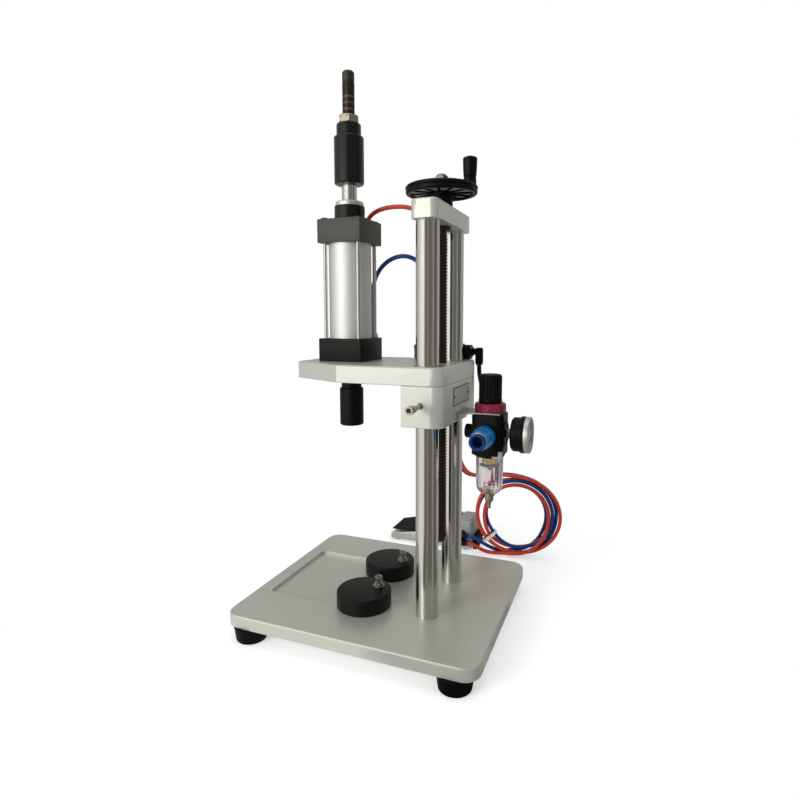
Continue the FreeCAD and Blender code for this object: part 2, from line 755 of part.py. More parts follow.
def build_stop():
    y = s.cylinder_y
    wide = s.rod_radius + s.loose_clearance
    narrow = s.thread_radius + s.slide_clearance
    inner_end = s.sleeve_height + s.thread_chamfer * 2
    total = s.sleeve_height + s.sleeve_step
    body = new_body("StopSleeve", (0, y, sleeve_low))
    turned(body, "SleeveTurned", [
        (wide, 0), (s.sleeve_radius - s.base_chamfer, 0), (s.sleeve_radius, s.base_chamfer),
        (s.sleeve_radius, s.sleeve_height - s.base_chamfer), (s.sleeve_radius - s.base_chamfer, s.sleeve_height),
        (s.sleeve_step_radius, s.sleeve_height), (s.sleeve_step_radius, total), (narrow, total),
        (narrow, inner_end), (wide, inner_end)])
    node("stop_sleeve", body)
    nut = hexagon("LockHex", s.lock_nut_radius, s.lock_nut_height - s.loose_clearance,
                  (0, y, step_high + s.loose_clearance))
    bore = cylinder("LockBore", narrow, s.lock_nut_height * 3, (0, y, step_high - s.lock_nut_height))
    node("lock_nut", cut("LockNut", nut, bore))


def port_fitting(name, port_y, z, top):
    """A push-in elbow screwed into the left side of an end cap, its mouth upwards."""
    x = -(s.cap_side / 2)
    stub = cylinder(name + "Stub", s.fitting_radius * 0.8, s.port_elbow - s.fitting_radius, (x, port_y, z), "-x")
    rise = cylinder(name + "Rise", s.fitting_radius, top - z + s.fitting_radius,
                    (x - s.port_elbow + s.fitting_radius / 2, port_y, z - s.fitting_radius))
    return fuse(name, stub, rise)


def build_fittings():
    port_z = tube_high + s.upper_port_rise
    high = port_fitting("FittingHigh", s.upper_port_y, port_z, port_z + s.port_mouth)
    low = port_fitting("FittingLow", s.lower_port_y, tube_low - s.port_drop, tube_low + s.fitting_radius)
    node("cylinder_fittings", group("CylinderFittings", high, low))


def build_valve():
    outer = s.valve_inner - s.valve_width
    length = s.valve_back - s.valve_front
    middle = s.valve_inner - s.valve_width / 2
    inset = s.base_chamfer
    block = box("ValveBlock", (s.valve_width, length - s.valve_cap * 2, s.valve_height),
                (outer, s.valve_front + s.valve_cap, arm_top))
    end = (s.valve_width - inset * 2, s.valve_cap, s.valve_height - inset)
    front = box("ValveEndFront", end, (outer + inset, s.valve_front, arm_top))
    back = box("ValveEndBack", end, (outer + inset, s.valve_back - s.valve_cap, arm_top))
    node("valve_body", fuse("ValveBody", block, front, back))
    mouths = []
    for name, port_y in (("Red", s.valve_port_red), ("Blue", s.valve_port_blue)):
        mouths.append(cylinder("ValveTop" + name, s.fitting_radius, s.valve_fitting,
                               (middle, port_y, arm_top + s.valve_height)))
        mouths.append(cylinder("ValveSide" + name, s.fitting_radius, s.valve_fitting,
                               (outer, port_y, arm_top + s.valve_height / 2), "-x"))
    node("valve_fittings", group("ValveFittings", *mouths))
    z = arm_top + s.valve_height / 2
    run = cylinder("ElbowRun", s.fitting_radius * 0.8, s.elbow_reach - s.fitting_radius / 2,
                   (middle, s.valve_back, z), "y")
    fall = cylinder("ElbowFall", s.fitting_radius, s.elbow_drop + s.fitting_radius,
                    (middle, s.valve_back + s.elbow_reach - s.fitting_radius / 2, z - s.elbow_drop))
    outlet_z = block_low + s.bracket_above - s.inlet_drop
    outlet = cylinder("OutletFitting", s.outlet_radius, s.outlet_length,
                      (-(s.regulator_side / 2), s.regulator_y, outlet_z), "-x")
    node("air_fittings", group("AirFittings", fuse("ValveElbow", run, fall), outlet))


def build_regulator():
    y = s.regulator_y
    half = s.regulator_side / 2
    bracket_top = block_low + s.bracket_above + s.bracket_thick
    body_high = bracket_top - s.bracket_thick
    body_low = body_high - s.regulator_height
    half_b = s.bracket_width / 2
    shelf = box("BracketShelf", (s.bracket_width, y - s.arm_back + half * 0.8, s.bracket_thick),
                (-half_b, s.arm_back, body_high))
    flange = box("BracketFlange", (s.bracket_width, s.bracket_thick, s.bracket_drop),
                 (-half_b, s.arm_back, bracket_top - s.bracket_drop))
    hole = cylinder("BracketHole", s.stem_radius, s.bracket_thick * 4, (0, y, body_high - s.bracket_thick))
    node("regulator_bracket", cut("RegulatorBracket", fuse("BracketSolid", shelf, flange), hole))
    block = plate("RegulatorBlock", rectangle(-half, half, y - half, y + half), s.regulator_height,
                  (0, 0, body_low), s.regulator_corner)
    stem = cylinder("RegulatorStem", s.stem_radius, s.bracket_thick + s.ring_height + s.loose_clearance,
                    (0, y, body_high))
    cavity = cylinder("ElementSeat", s.element_radius + s.loose_clearance, s.element_height / 2,
                      (0, y, body_low - s.loose_clearance))
    inlet_z = body_high - s.inlet_drop
    plug = hexagon("RegulatorPlug", s.plug_radius, s.plug_length, (0, y - half, inlet_z), "-y")
    node("regulator_body", cut("RegulatorCut", fuse("RegulatorSolid", block, stem, plug), cavity))
    node("lock_ring", cut("LockRing", cylinder("LockRingOut", s.ring_radius, s.ring_height, (0, y, bracket_top)),
                          cylinder("LockRingIn", s.stem_radius, s.ring_height * 2,
                                   (0, y, bracket_top - s.ring_height / 2))))
    knob_low = bracket_top + s.ring_height + s.loose_clearance
    knob = new_body("RegulatorKnob", (0, y, knob_low))
    turned(knob, "KnobTurned", [
        (0, 0), (s.knob_radius, 0), (s.knob_radius, s.knob_height - s.base_chamfer),
        (s.knob_radius - s.base_chamfer, s.knob_height), (0, s.knob_height)])
    node("regulator_knob", knob)
    bowl = new_body("FilterBowl", (0, y, body_low - s.bowl_height))
    inner = s.bowl_radius - s.bowl_wall
    turned(bowl, "BowlTurned", [
        (s.drain_tip_radius, 0), (s.bowl_radius * 0.72, 0), (s.bowl_radius * 0.93, s.bowl_wall * 2),
        (s.bowl_radius, s.bowl_wall * 5), (s.bowl_radius, s.bowl_height), (inner, s.bowl_height),
        (inner, s.bowl_wall * 5), (inner * 0.66, s.bowl_wall), (s.drain_tip_radius, s.bowl_wall)])
    node("filter_bowl", bowl)
    node("filter_element", cylinder("FilterElement", s.element_radius, s.element_height,
                                    (0, y, body_low - s.element_height / 2 - s.loose_clearance)))
    drain_low = body_low - s.bowl_height - s.loose_clearance - s.drain_height
    drain = new_body("DrainScrew", (0, y, drain_low - s.drain_tip))
    top = s.drain_tip + s.drain_height
    turned(drain, "DrainTurned", [
        (0, 0), (s.drain_tip_radius, 0), (s.drain_tip_radius, s.drain_tip), (s.drain_radius, s.drain_tip),
        (s.drain_radius, top), (s.drain_tip_radius - s.slide_clearance, top),
        (s.drain_tip_radius - s.slide_clearance, top + s.bowl_wall + s.loose_clearance),
        (0, top + s.bowl_wall + s.loose_clearance)])
    node("drain_screw", drain)
    build_gauge(y + half, inlet_z)
    nipple = cylinder("InletNipple", s.inlet_radius * 0.7, s.inlet_nipple, (half, y, inlet_z), "x")
    sleeve = cylinder("InletSleeve", s.inlet_radius, s.inlet_length - s.inlet_nipple,
                      (half + s.inlet_nipple, y, inlet_z), "x")
    bore = cylinder("InletBore", s.collet_bore + s.bowl_wall, s.inlet_length,
                    (half + s.inlet_length * 0.6, y, inlet_z), "x")
    node("inlet_fitting", cut("InletFitting", fuse("InletSolid", nipple, sleeve), bore))
    reach = s.inlet_length * 0.3
    barrel = cylinder("ColletBarrel", s.collet_bore + s.bowl_wall - s.slide_clearance, reach,
                      (half + s.inlet_length - reach, y, inlet_z), "x")
    rim = cylinder("ColletRim", s.collet_radius, s.collet_length - s.bowl_wall,
                   (half + s.inlet_length + s.bowl_wall, y, inlet_z), "x")
    neck = cylinder("ColletNeck", s.collet_bore + s.bowl_wall - s.slide_clearance, s.bowl_wall,
                    (half + s.inlet_length, y, inlet_z), "x")
    hole = cylinder("ColletHole", s.collet_bore, s.inlet_length * 2, (half, y, inlet_z), "x")
    node("inlet_collet", cut("InletCollet", fuse("ColletSolid", barrel, neck, rim), hole))


def build_gauge(face_y, z):
    stem = cylinder("GaugeStem", s.gauge_stem_radius, s.gauge_stem, (0, face_y, z), "y")
    back = face_y + s.gauge_stem
    case = cylinder("GaugeCaseOut", s.gauge_radius, s.gauge_depth, (0, back, z), "y")
    well = cylinder("GaugeWell", s.gauge_radius - s.gauge_wall, s.gauge_dial_depth * 2,
                    (0, back + s.gauge_depth - s.gauge_dial_depth, z), "y")
    node("gauge_case", cut("GaugeCase", fuse("GaugeSolid", stem, case), well))
    front = back + s.gauge_depth
    ring = cylinder("BezelOut", s.bezel_radius, s.bezel_height, (0, front, z), "y")
    hole = cylinder("BezelIn", s.bezel_radius - s.bezel_lip, s.bezel_height * 3,
                    (0, front - s.bezel_height, z), "y")
    node("gauge_bezel", cut("GaugeBezel", ring, hole))
    dial = front - s.gauge_dial_depth
    pivot = cylinder("NeedlePivot", s.needle_width, s.needle_thick * 2, (0, dial + s.loose_clearance, z), "y")
    blade = box("NeedleBlade", (s.needle_width, s.needle_thick, s.needle_length + s.needle_width * 2),
                (-(s.needle_width / 2), dial + s.loose_clearance + s.needle_thick, z - s.needle_width * 2))
    node("gauge_needle", fuse("GaugeNeedle", pivot, blade))


def build_discs():
    bolts = []
    for label, name, sign, angle in (("locator_disc_right", "DiscRight", 1, s.disc_near_angle),
                                     ("locator_disc_left", "DiscLeft", -1, s.disc_far_angle)):
        x = s.disc_across * sign
        turn = math.radians(angle.value)
        centre_x = x + s.disc_offset * math.cos(turn)
        centre_y = s.disc_y + s.disc_offset * math.sin(turn)
        disc = cylinder(name + "Round", s.disc_radius, s.disc_height, (centre_x, centre_y, base_top))
        hole = cylinder(name + "Hole", s.disc_bolt_radius + s.loose_clearance, s.disc_height * 2,
                        (x, s.disc_y, base_top - s.disc_height / 2))
        node(label, cut(name, disc, hole))
        top = base_top + s.disc_height + s.loose_clearance
        shank = cylinder(name + "Shank", s.disc_bolt_radius,
                         s.disc_bolt_reach + s.disc_height + s.loose_clearance + s.disc_bolt_stand,
                         (x, s.disc_y, base_top - s.disc_bolt_reach))
        nut = hexagon(name + "Nut", s.disc_nut_radius, s.disc_nut_height, (x, s.disc_y, top))
        head = cylinder(name + "BoltHead", s.disc_bolt_head_radius, s.disc_bolt_head,
                        (x, s.disc_y, top + s.disc_bolt_stand - s.disc_bolt_head))
        socket = hexagon(name + "Socket", s.disc_bolt_radius * 0.8, s.disc_bolt_head,
                         (x, s.disc_y, top + s.disc_bolt_stand - s.disc_bolt_head * 0.6))
        bolts.append(cut(name + "Bolt", fuse(name + "BoltSolid", shank, nut, head), socket))
    node("disc_bolts", group("DiscBolts", *bolts))


def build_pedal():
    half = s.pedal_width / 2
    x = s.pedal_x
    tray_low = floor + s.pedal_foot_height
    tray_top = tray_low + s.pedal_tray
    feet = []
    inset = s.pedal_foot_radius * 2
    for i, (a, y) in enumerate(((1, s.pedal_front + inset), (-1, s.pedal_front + inset),
                                (1, s.pedal_back - inset), (-1, s.pedal_back - inset))):
        feet.append(cylinder("PedalFoot%d" % i, s.pedal_foot_radius, s.pedal_foot_height,
                             (x + (half - inset) * a, y, floor)))
    half_valve = s.pedal_valve_width / 2
    feet.append(box("PedalEnd", (s.pedal_valve_width * 0.8, s.pedal_cap_length, s.pedal_cap_top),
                    (x - half_valve * 0.8, s.pedal_back, floor)))
    node("pedal_rubber", group("PedalRubber", *feet))
    tray = plate("PedalTray", rectangle(x - half, x + half, s.pedal_front, s.pedal_back), s.pedal_tray,
                 (0, 0, tray_low), s.pedal_foot_radius)
    hinge_z = floor + s.pedal_hinge_z
    ears = []
    for name, left in (("Right", x + half - s.pedal_ear), ("Left", x - half)):
        stand = box("Ear" + name, (s.pedal_ear, s.pedal_lug_radius * 2, hinge_z - tray_top),
                    (left, s.pedal_hinge_y - s.pedal_lug_radius, tray_top))
        eye = cylinder("EarEye" + name, s.pedal_lug_radius, s.pedal_ear, (left, s.pedal_hinge_y, hinge_z), "x")
        ears.extend([stand, eye])
    pin_bore = cylinder("EarBore", s.pedal_pin_radius, s.pedal_width * 1.2,
                        (x - half * 1.2, s.pedal_hinge_y, hinge_z), "x")
    pin = cylinder("PedalPin", s.pedal_pin_radius, s.pedal_width, (x - half, s.pedal_hinge_y, hinge_z), "x")
    tray_cut = cut("PedalTrayCut", fuse("PedalTraySolid", tray, *ears), pin_bore)
    node("pedal_tray", group("PedalTrayAndPin", tray_cut, pin))
    half_pad = s.pedal_pad_width / 2
    pad_body = new_body("PedalPad", (x - half_pad, 0, floor))
    front = s.pedal_front
    rear = s.pedal_hinge_y
    lug = s.pedal_lug_radius - s.loose_clearance * 2
    outline = [
        (front + s.pedal_pad_gap, s.pedal_lip_z), (front + s.pedal_pad_gap, s.pedal_lip_z + s.pedal_lip_thick),
        (front + s.pedal_nose_y, s.pedal_nose_z), (front + s.pedal_top_y, s.pedal_top_z),
        (rear - lug, s.pedal_top_z + s.pedal_pad_gap * 2), (rear + lug, s.pedal_hinge_z + lug),
        (rear + lug, s.pedal_hinge_z - lug), (rear - lug, s.pedal_hinge_z - lug),
        (front + s.pedal_top_y, s.pedal_nose_z - s.pedal_pad_thick),
        (front + s.pedal_pad_gap * 8, s.pedal_lip_z)]
    pad(pad_body, "PadSolid", polygon_sketch(pad_body, "PadOutline", "YZ_Plane", outline), s.pedal_pad_width)
    hole = cylinder("PadBore", s.pedal_pin_radius + s.slide_clearance, s.pedal_width * 1.2,
                    (x - half * 1.2, rear, hinge_z), "x")
    node("pedal_pad", cut("PedalPadCut", pad_body, hole))
    housing = plate("PedalValve", rectangle(x - half_valve, x + half_valve, s.pedal_back - s.pedal_valve_length,
                                            s.pedal_back), floor + s.pedal_valve_top - tray_top,
                    (0, 0, tray_top), s.pedal_foot_radius)
    node("pedal_valve", housing)
    fittings = []
    port_x = x + half_valve
    for i in (0, 1):
        z = floor + s.pedal_port_z + s.pedal_port_gap * i
        stub = cylinder("PedalStub%d" % i, s.fitting_radius * 0.8, s.port_elbow,
                        (port_x, s.pedal_port_y + s.fitting_radius, z), "x")
        barrel = cylinder("PedalBarrel%d" % i, s.fitting_radius, s.port_elbow + s.fitting_radius,
                          (port_x + s.port_elbow, s.pedal_port_y, z), "y")
        fittings.append(fuse("PedalFitting%d" % i, stub, barrel))
    node("pedal_fittings", group("PedalFittings", *fittings))


def coil_frame():
    """Centre of the upright coil, its axis, and the level direction in its plane."""
    centre = V(s.coil_x.value, s.coil_y.value, (floor + s.coil_radius + s.coil_half_width).value)
    turn = math.radians(s.coil_turn.value)
    return centre, V(math.cos(turn), math.sin(turn), 0), V(-math.sin(turn), math.cos(turn), 0)


def coil_point(degrees, outward, sideways, ahead):
    """A point by the coil's middle line, moved out, along the coil's axis and along the turn."""
    centre, axis, level = coil_frame()
    a = math.radians(degrees)
    spoke = level * math.cos(a) + V(0, 0, 1) * math.sin(a)
    onward = level * abs(math.sin(a)) + V(0, 0, 1) * (math.cos(a) * (-1 if math.sin(a) > 0 else 1))
    spot = centre + spoke * (s.coil_radius.value + outward) + axis * sideways + onward * ahead
    return (spot.x, spot.y, spot.z)


def build_coil():
    centre, axis, level = coil_frame()
    radius = s.coil_radius.value
    wide = s.coil_half_width.value
    deep = s.coil_half_depth.value
    flat = wide - deep
    side = V(0, 0, 1)
    hub = centre + side * radius
    outline = Part.Wire([
        Part.LineSegment(hub + side * flat + axis * deep, hub - side * flat + axis * deep).toShape(),
        Part.Arc(hub - side * flat + axis * deep, hub - side * wide, hub - side * flat - axis * deep).toShape(),
        Part.LineSegment(hub - side * flat - axis * deep, hub + side * flat - axis * deep).toShape(),
        Part.Arc(hub + side * flat - axis * deep, hub + side * wide, hub + side * flat + axis * deep).toShape()])
    ring = doc.addObject("Part::Feature", "HoseCoil")
    ring.Shape = Part.Face(outline).revolve(centre, axis, 360)
    ring.Placement = FreeCAD.Placement()
    node("hose_coil", ring)
    band_turn = math.radians(s.tie_band_angle.value)
    outward = level * math.cos(band_turn) + V(0, 0, 1) * math.sin(band_turn)
    along = axis.cross(outward)
    length = s.tie_band.value
    thick = s.tie_band_thick.value
    spot = centre + outward * radius - along * (length / 2)

    def slab(grow):
        frame = FreeCAD.Matrix(axis.x, outward.x, along.x, spot.x, axis.y, outward.y, along.y, spot.y,
                               axis.z, outward.z, along.z, spot.z, 0, 0, 0, 1)
        half_a, half_b = deep + grow, wide + grow
        block = Part.makeBox(2 * half_a, 2 * half_b, length, V(-half_a, -half_b, 0))
        return block.transformGeometry(frame)

    band = doc.addObject("Part::Feature", "CableTie")
    band.Shape = slab(thick).cut(slab(0.0)).cut(ring.Shape)
    band.Placement = FreeCAD.Placement()
    node("cable_tie", band)


def build_hoses():
    """The hoses' routes are chosen by hand on a grid of one route step, from the fittings at their ends."""
    r = s.hose_radius.value
    u = s.route_step.value
    lane = s.coil_lane.value
    port_x = (-(s.cap_side / 2) - s.port_elbow + s.fitting_radius / 2).value
    middle = (s.valve_inner - s.valve_width / 2).value
    top = (arm_top + s.valve_height + s.valve_fitting).value
    upper, lower = s.upper_port_y.value, s.lower_port_y.value
    start_red = (tube_high + s.upper_port_rise + s.port_mouth).value
    start_blue = (tube_low + s.fitting_radius).value
    red, blue = s.valve_port_red.value, s.valve_port_blue.value
    hose("hose_red_cylinder", [
        (port_x, upper, start_red), (port_x, upper, start_red + 11 * u),
        (port_x, upper + 4.5 * u, start_red + 23 * u), (port_x, upper + 14 * u, start_red + 33 * u),
        (port_x - 1 * u, upper + 29 * u, start_red + 38.5 * u), (port_x - 3 * u, upper + 48 * u, start_red + 40 * u),
        (port_x - 6 * u, upper + 67 * u, start_red + 38 * u), (port_x - 10 * u, red - 18 * u, start_red + 29 * u),
        (port_x - 15 * u, red - 6 * u, start_red + 12 * u), (port_x - 20 * u, red, start_red - 12 * u),
        (port_x - 25 * u, red + 2 * u, start_red - 42 * u), (middle + 5 * u, red + 1.5 * u, start_red - 74 * u),
        (middle + 1 * u, red, start_red - 102 * u), (middle, red, top + 10 * u), (middle, red, top)], r)
    hose("hose_blue_cylinder", [
        (port_x, lower, start_blue), (port_x, lower, start_blue + 26 * u), (port_x, lower - 3 * u, start_blue + 56 * u),
        (port_x, lower + 4 * u, start_blue + 82 * u), (port_x, lower + 21 * u, start_blue + 100 * u),
        (port_x - 2 * u, lower + 43 * u, start_blue + 107 * u), (port_x - 6 * u, lower + 62 * u, start_blue + 101 * u),
        (port_x - 12 * u, blue - 1 * u, start_blue + 85 * u), (port_x - 20 * u, blue + 4 * u, start_blue + 62 * u),
        (port_x - 28 * u, blue + 2 * u, start_blue + 38 * u), (middle + 1 * u, blue, start_blue + 18 * u),
        (middle, blue, top + 9 * u), (middle, blue, top)], r)
    elbow_y = (s.valve_back + s.elbow_reach - s.fitting_radius / 2).value
    elbow_z = (arm_top + s.valve_height / 2 - s.elbow_drop).value
    outlet_x = -(s.regulator_side / 2 + s.outlet_length).value
    outlet_z = (block_low + s.bracket_above - s.inlet_drop).value
    regulator_y = s.regulator_y.value
    hose("hose_air", [
        (middle, elbow_y, elbow_z), (middle, elbow_y, elbow_z - 16 * u),
        (middle - 2 * u, elbow_y + 7 * u, elbow_z - 38 * u), (middle + 1 * u, elbow_y + 20 * u, outlet_z + 14 * u),
        (outlet_x - 22 * u, regulator_y, outlet_z), (outlet_x, regulator_y, outlet_z)], r)
    side_x = (s.valve_inner - s.valve_width - s.valve_fitting).value
    side_z = (arm_top + s.valve_height / 2).value
    hose("hose_blue_feed", [
        (side_x, blue, side_z), (side_x - 14 * u, blue, side_z), (side_x - 29 * u, blue + 1 * u, side_z - 13 * u),
        (side_x - 39 * u, blue + 2 * u, side_z - 53 * u), (side_x - 43 * u, blue + 4 * u, side_z - 99 * u),
        (side_x - 53 * u, blue + 8 * u, side_z - 149 * u), (side_x - 81 * u, blue + 18 * u, side_z - 203 * u),
        (side_x - 115 * u, blue + 38 * u, side_z - 216 * u), coil_point(84, 0, -lane, -30 * u),
        coil_point(84, 0, -lane, 0)], r)
    hose("hose_red_feed", [
        (side_x, red, side_z), (side_x - 16 * u, red, side_z), (side_x - 32 * u, red - 1 * u, side_z - 15 * u),
        (side_x - 41 * u, red - 3 * u, side_z - 59 * u), (side_x - 44 * u, red - 4 * u, side_z - 105 * u),
        (side_x - 52 * u, red - 1 * u, side_z - 149 * u), (side_x - 76 * u, red + 7.5 * u, side_z - 201 * u),
        (side_x - 109 * u, red + 26 * u, side_z - 214 * u), coil_point(84, 0, lane, -30 * u),
        coil_point(84, 0, lane, 0)], r)
    port_y = (s.pedal_port_y + s.port_elbow + s.fitting_radius).value
    side = (s.pedal_x + s.pedal_valve_width / 2 + s.port_elbow).value
    low = (floor + s.pedal_port_z).value
    high = low + s.pedal_port_gap.value
    ground = floor.value + r
    hose("hose_red_pedal", [
        (side, port_y, low), (side, port_y + 12 * u, low), (side - 1 * u, port_y + 26 * u, low - 9 * u),
        (side - 5 * u, port_y + 45 * u, ground + 0.7 * u), (side - 9.5 * u, port_y + 60 * u, ground + 1.7 * u),
        coil_point(262, 6 * u, lane, 0)], r)
    hose("hose_blue_pedal", [
        (side, port_y, high), (side, port_y + 12 * u, high), (side - 2 * u, port_y + 27 * u, high - 9 * u),
        (side - 11.5 * u, port_y + 43 * u, ground + 5.5 * u), (side - 17 * u, port_y + 59 * u, ground + 1 * u),
        coil_point(262, 6 * u, -lane, 0)], r)


build_base()
build_columns()
build_top()
build_lead_screw()
build_handwheel()
build_arm()
build_cylinder()
build_ram()
build_stop()
build_fittings()
build_valve()
build_regulator()
build_discs()
build_pedal()
build_coil()
build_hoses()
doc.recompute()

for obj in doc.Objects:
    bad = [state for state in obj.State if state in ("Invalid", "Error")]
    assert not bad, "%s is %s" % (obj.Name, bad)
os.makedirs("parts", exist_ok=True)
for obj in nodes:
    shape = obj.Shape
    assert not shape.isNull() and shape.isValid(), obj.Label
    assert all(solid.Volume > 0 for solid in shape.Solids) and shape.Solids, obj.Label
for obj in nodes:
    obj.Shape.exportStep("parts/%s.step" % obj.Label)
print(len(nodes), "nodes")
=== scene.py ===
from math import cos, pi, radians, sin

import bmesh
import bpy
from mathutils import Matrix, Vector


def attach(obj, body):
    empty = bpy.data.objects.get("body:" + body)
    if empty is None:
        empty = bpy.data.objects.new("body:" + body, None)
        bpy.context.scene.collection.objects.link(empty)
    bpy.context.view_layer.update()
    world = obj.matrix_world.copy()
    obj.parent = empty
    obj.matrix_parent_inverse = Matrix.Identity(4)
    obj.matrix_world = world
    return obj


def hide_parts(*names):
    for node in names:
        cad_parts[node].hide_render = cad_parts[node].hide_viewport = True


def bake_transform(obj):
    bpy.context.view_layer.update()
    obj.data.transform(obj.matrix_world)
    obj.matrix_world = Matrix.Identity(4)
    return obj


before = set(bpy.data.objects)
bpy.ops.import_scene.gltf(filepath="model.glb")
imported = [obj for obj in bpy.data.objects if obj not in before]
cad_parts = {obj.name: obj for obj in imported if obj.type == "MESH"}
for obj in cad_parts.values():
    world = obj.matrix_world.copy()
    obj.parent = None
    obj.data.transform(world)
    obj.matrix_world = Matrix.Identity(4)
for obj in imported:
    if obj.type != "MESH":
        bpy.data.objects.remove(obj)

# Looks of the pneumatic cap press. Lengths are written in millimetres and scaled by MM.
# +Z up, the operator and the press head at -Y, the columns at +Y.

MM = 0.001
UP = Vector((0, 0, 1))
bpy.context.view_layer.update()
scene = bpy.context.scene
scene.view_settings.view_transform = "Standard"

AXES = {
    "z": Matrix.Identity(3),
    "-z": Matrix.Rotation(pi, 3, "X"),
    "x": Matrix.Rotation(pi / 2, 3, "Y"),
    "-x": Matrix.Rotation(-pi / 2, 3, "Y"),
    "y": Matrix.Rotation(-pi / 2, 3, "X"),
    "-y": Matrix.Rotation(pi / 2, 3, "X"),
}


def add_object(name, data):
    made = bpy.data.objects.new(name, data)
    scene.collection.objects.link(made)
    return made


# Camera

AZIMUTH = radians(111.2)
PITCH = radians(5.5)


def make_camera():
    data = bpy.data.cameras.new("PhotoCamera")
    data.sensor_width = 36.0
    data.lens = 25.056
    data.shift_x = -0.01925
    data.shift_y = -0.0356
    data.clip_start = 0.02
    data.clip_end = 50.0
    camera = add_object("PhotoCamera", data)
    camera.location = Vector((671.2, 300.6, 366.9)) * MM
    ahead = Vector((-sin(AZIMUTH) * cos(PITCH), cos(AZIMUTH) * cos(PITCH), -sin(PITCH)))
    camera.rotation_euler = ahead.to_track_quat("-Z", "Y").to_euler()
    scene.camera = camera


make_camera()


# Materials


def new_material(name):
    made = bpy.data.materials.new(name)
    made.use_nodes = True
    nodes = made.node_tree.nodes
    return made, nodes, nodes["Principled BSDF"]


def set_inputs(node, **values):
    """Constants on a node's sockets; a blank in a socket's name is written as _."""
    for name, value in values.items():
        node.inputs[name.replace("_", " ")].default_value = value
    return node


def add_node(nodes, kind, **values):
    return set_inputs(nodes.new("ShaderNode" + kind), **values)


def wire(source, output, target, socket):
    source.id_data.links.new(source.outputs[output], target.inputs[socket])


def surface(name, colour, roughness, metallic=0.0, grain=400, spread=0.06, bump=0.0, tint=0.1,
            stretch=(1, 1, 1), coat=0.0, specular=0.5):
    """A surface whose colour, roughness and height vary with noise; grain is in cells per metre."""
    made, nodes, shader = new_material(name)
    set_inputs(shader, Metallic=metallic, Specular_IOR_Level=specular, Coat_Weight=coat, Coat_Roughness=0.08)
    place = add_node(nodes, "TexCoord")
    scale = add_node(nodes, "Mapping", Scale=stretch)
    wire(place, "Object", scale, "Vector")
    fine = add_node(nodes, "TexNoise", Scale=grain, Detail=4.0)
    broad = add_node(nodes, "TexNoise", Scale=grain / 16, Detail=3.0)
    for noise in (fine, broad):
        wire(scale, "Vector", noise, "Vector")
    least, most = max(0.02, roughness - spread), min(1.0, roughness + spread)
    rough = add_node(nodes, "MapRange", To_Min=least, To_Max=most)
    wire(broad, "Fac", rough, "Value")
    wire(rough, "Result", shader, "Roughness")
    ramp = add_node(nodes, "ValToRGB")
    dark, pale = ramp.color_ramp.elements
    dark.position = 0.3
    pale.position = 0.7
    dark.color = [c * (1 - tint) for c in colour] + [1.0]
    pale.color = [min(1.0, c * (1 + tint)) for c in colour] + [1.0]
    wire(fine, "Fac", ramp, "Fac")
    wire(ramp, "Color", shader, "Base Color")
    if bump:
        height = add_node(nodes, "Bump", Strength=bump, Distance=0.1 * MM)
        wire(fine, "Fac", height, "Height")
        wire(height, "Normal", shader, "Normal")
    return made


def banded_steel(name, dark, pale, pitch, high):
    """Oiled dark steel with worn pale rings at a pitch, up to a height in millimetres."""
    made, nodes, shader = new_material(name)
    set_inputs(shader, Metallic=0.5, Roughness=0.42)
    place = add_node(nodes, "TexCoord")
    axes = add_node(nodes, "SeparateXYZ")
    wire(place, "Object", axes, 0)
    wave = add_node(nodes, "TexWave", Scale=2 * pi / (20 * pitch * MM), Distortion=3.0, Detail=2.0)
    wave.bands_direction = "Z"
    wire(place, "Object", wave, "Vector")
    rings = add_node(nodes, "MapRange", From_Min=0.55, From_Max=0.95)
    wire(wave, "Fac", rings, "Value")
    above = add_node(nodes, "MapRange", From_Min=(high + 3) * MM, From_Max=(high - 3) * MM)
    wire(axes, "Z", above, "Value")
    worn = add_node(nodes, "Math")
    worn.operation = "MULTIPLY"
    wire(rings, "Result", worn, 0)
    wire(above, "Result", worn, 1)
    ramp = add_node(nodes, "ValToRGB")
    for element, colour in zip(ramp.color_ramp.elements, (dark, pale)):
        element.color = (*colour, 1)
    wire(worn, 0, ramp, "Fac")
    wire(ramp, "Color", shader, "Base Color")
    return made


def clear_plastic(name, colour, roughness):
    made, nodes, shader = new_material(name)
    set_inputs(shader, Base_Color=(*colour, 1.0), Transmission_Weight=1.0, IOR=1.35)
    noise = add_node(nodes, "TexNoise", Scale=90.0)
    rough = add_node(nodes, "MapRange", To_Min=roughness * 0.5, To_Max=roughness * 1.5)
    wire(noise, "Fac", rough, "Value")
    wire(rough, "Result", shader, "Roughness")
    return made


ALUMINIUM = surface("satin_aluminium", (0.55, 0.555, 0.495), 0.34, 0.45, grain=2600, spread=0.05, bump=0.25,
                    tint=0.04)
STEEL = surface("polished_steel", (0.68, 0.67, 0.63), 0.15, 1.0, grain=500, spread=0.04, tint=0.04,
                stretch=(1, 1, 0.05))
CHROME = surface("chrome", (0.70, 0.70, 0.67), 0.16, 1.0, grain=700, spread=0.05, tint=0.04)
SCREW = surface("screw_steel", (0.48, 0.45, 0.38), 0.27, 1.0, grain=1500, spread=0.08, bump=0.1)
LEAD = surface("lead_steel", (0.045, 0.032, 0.022), 0.38, 0.7, grain=900, spread=0.12, bump=0.2, tint=0.3)
BOLT = surface("bolt_steel", (0.26, 0.25, 0.22), 0.3, 0.9, grain=1500, spread=0.08, bump=0.1)
STUD = banded_steel("stud_steel", (0.040, 0.032, 0.020), (0.15, 0.12, 0.08), 8.0, 656)
NUT = surface("nut_steel", (0.34, 0.31, 0.23), 0.4, 0.85, grain=1500, spread=0.05, bump=0.03)
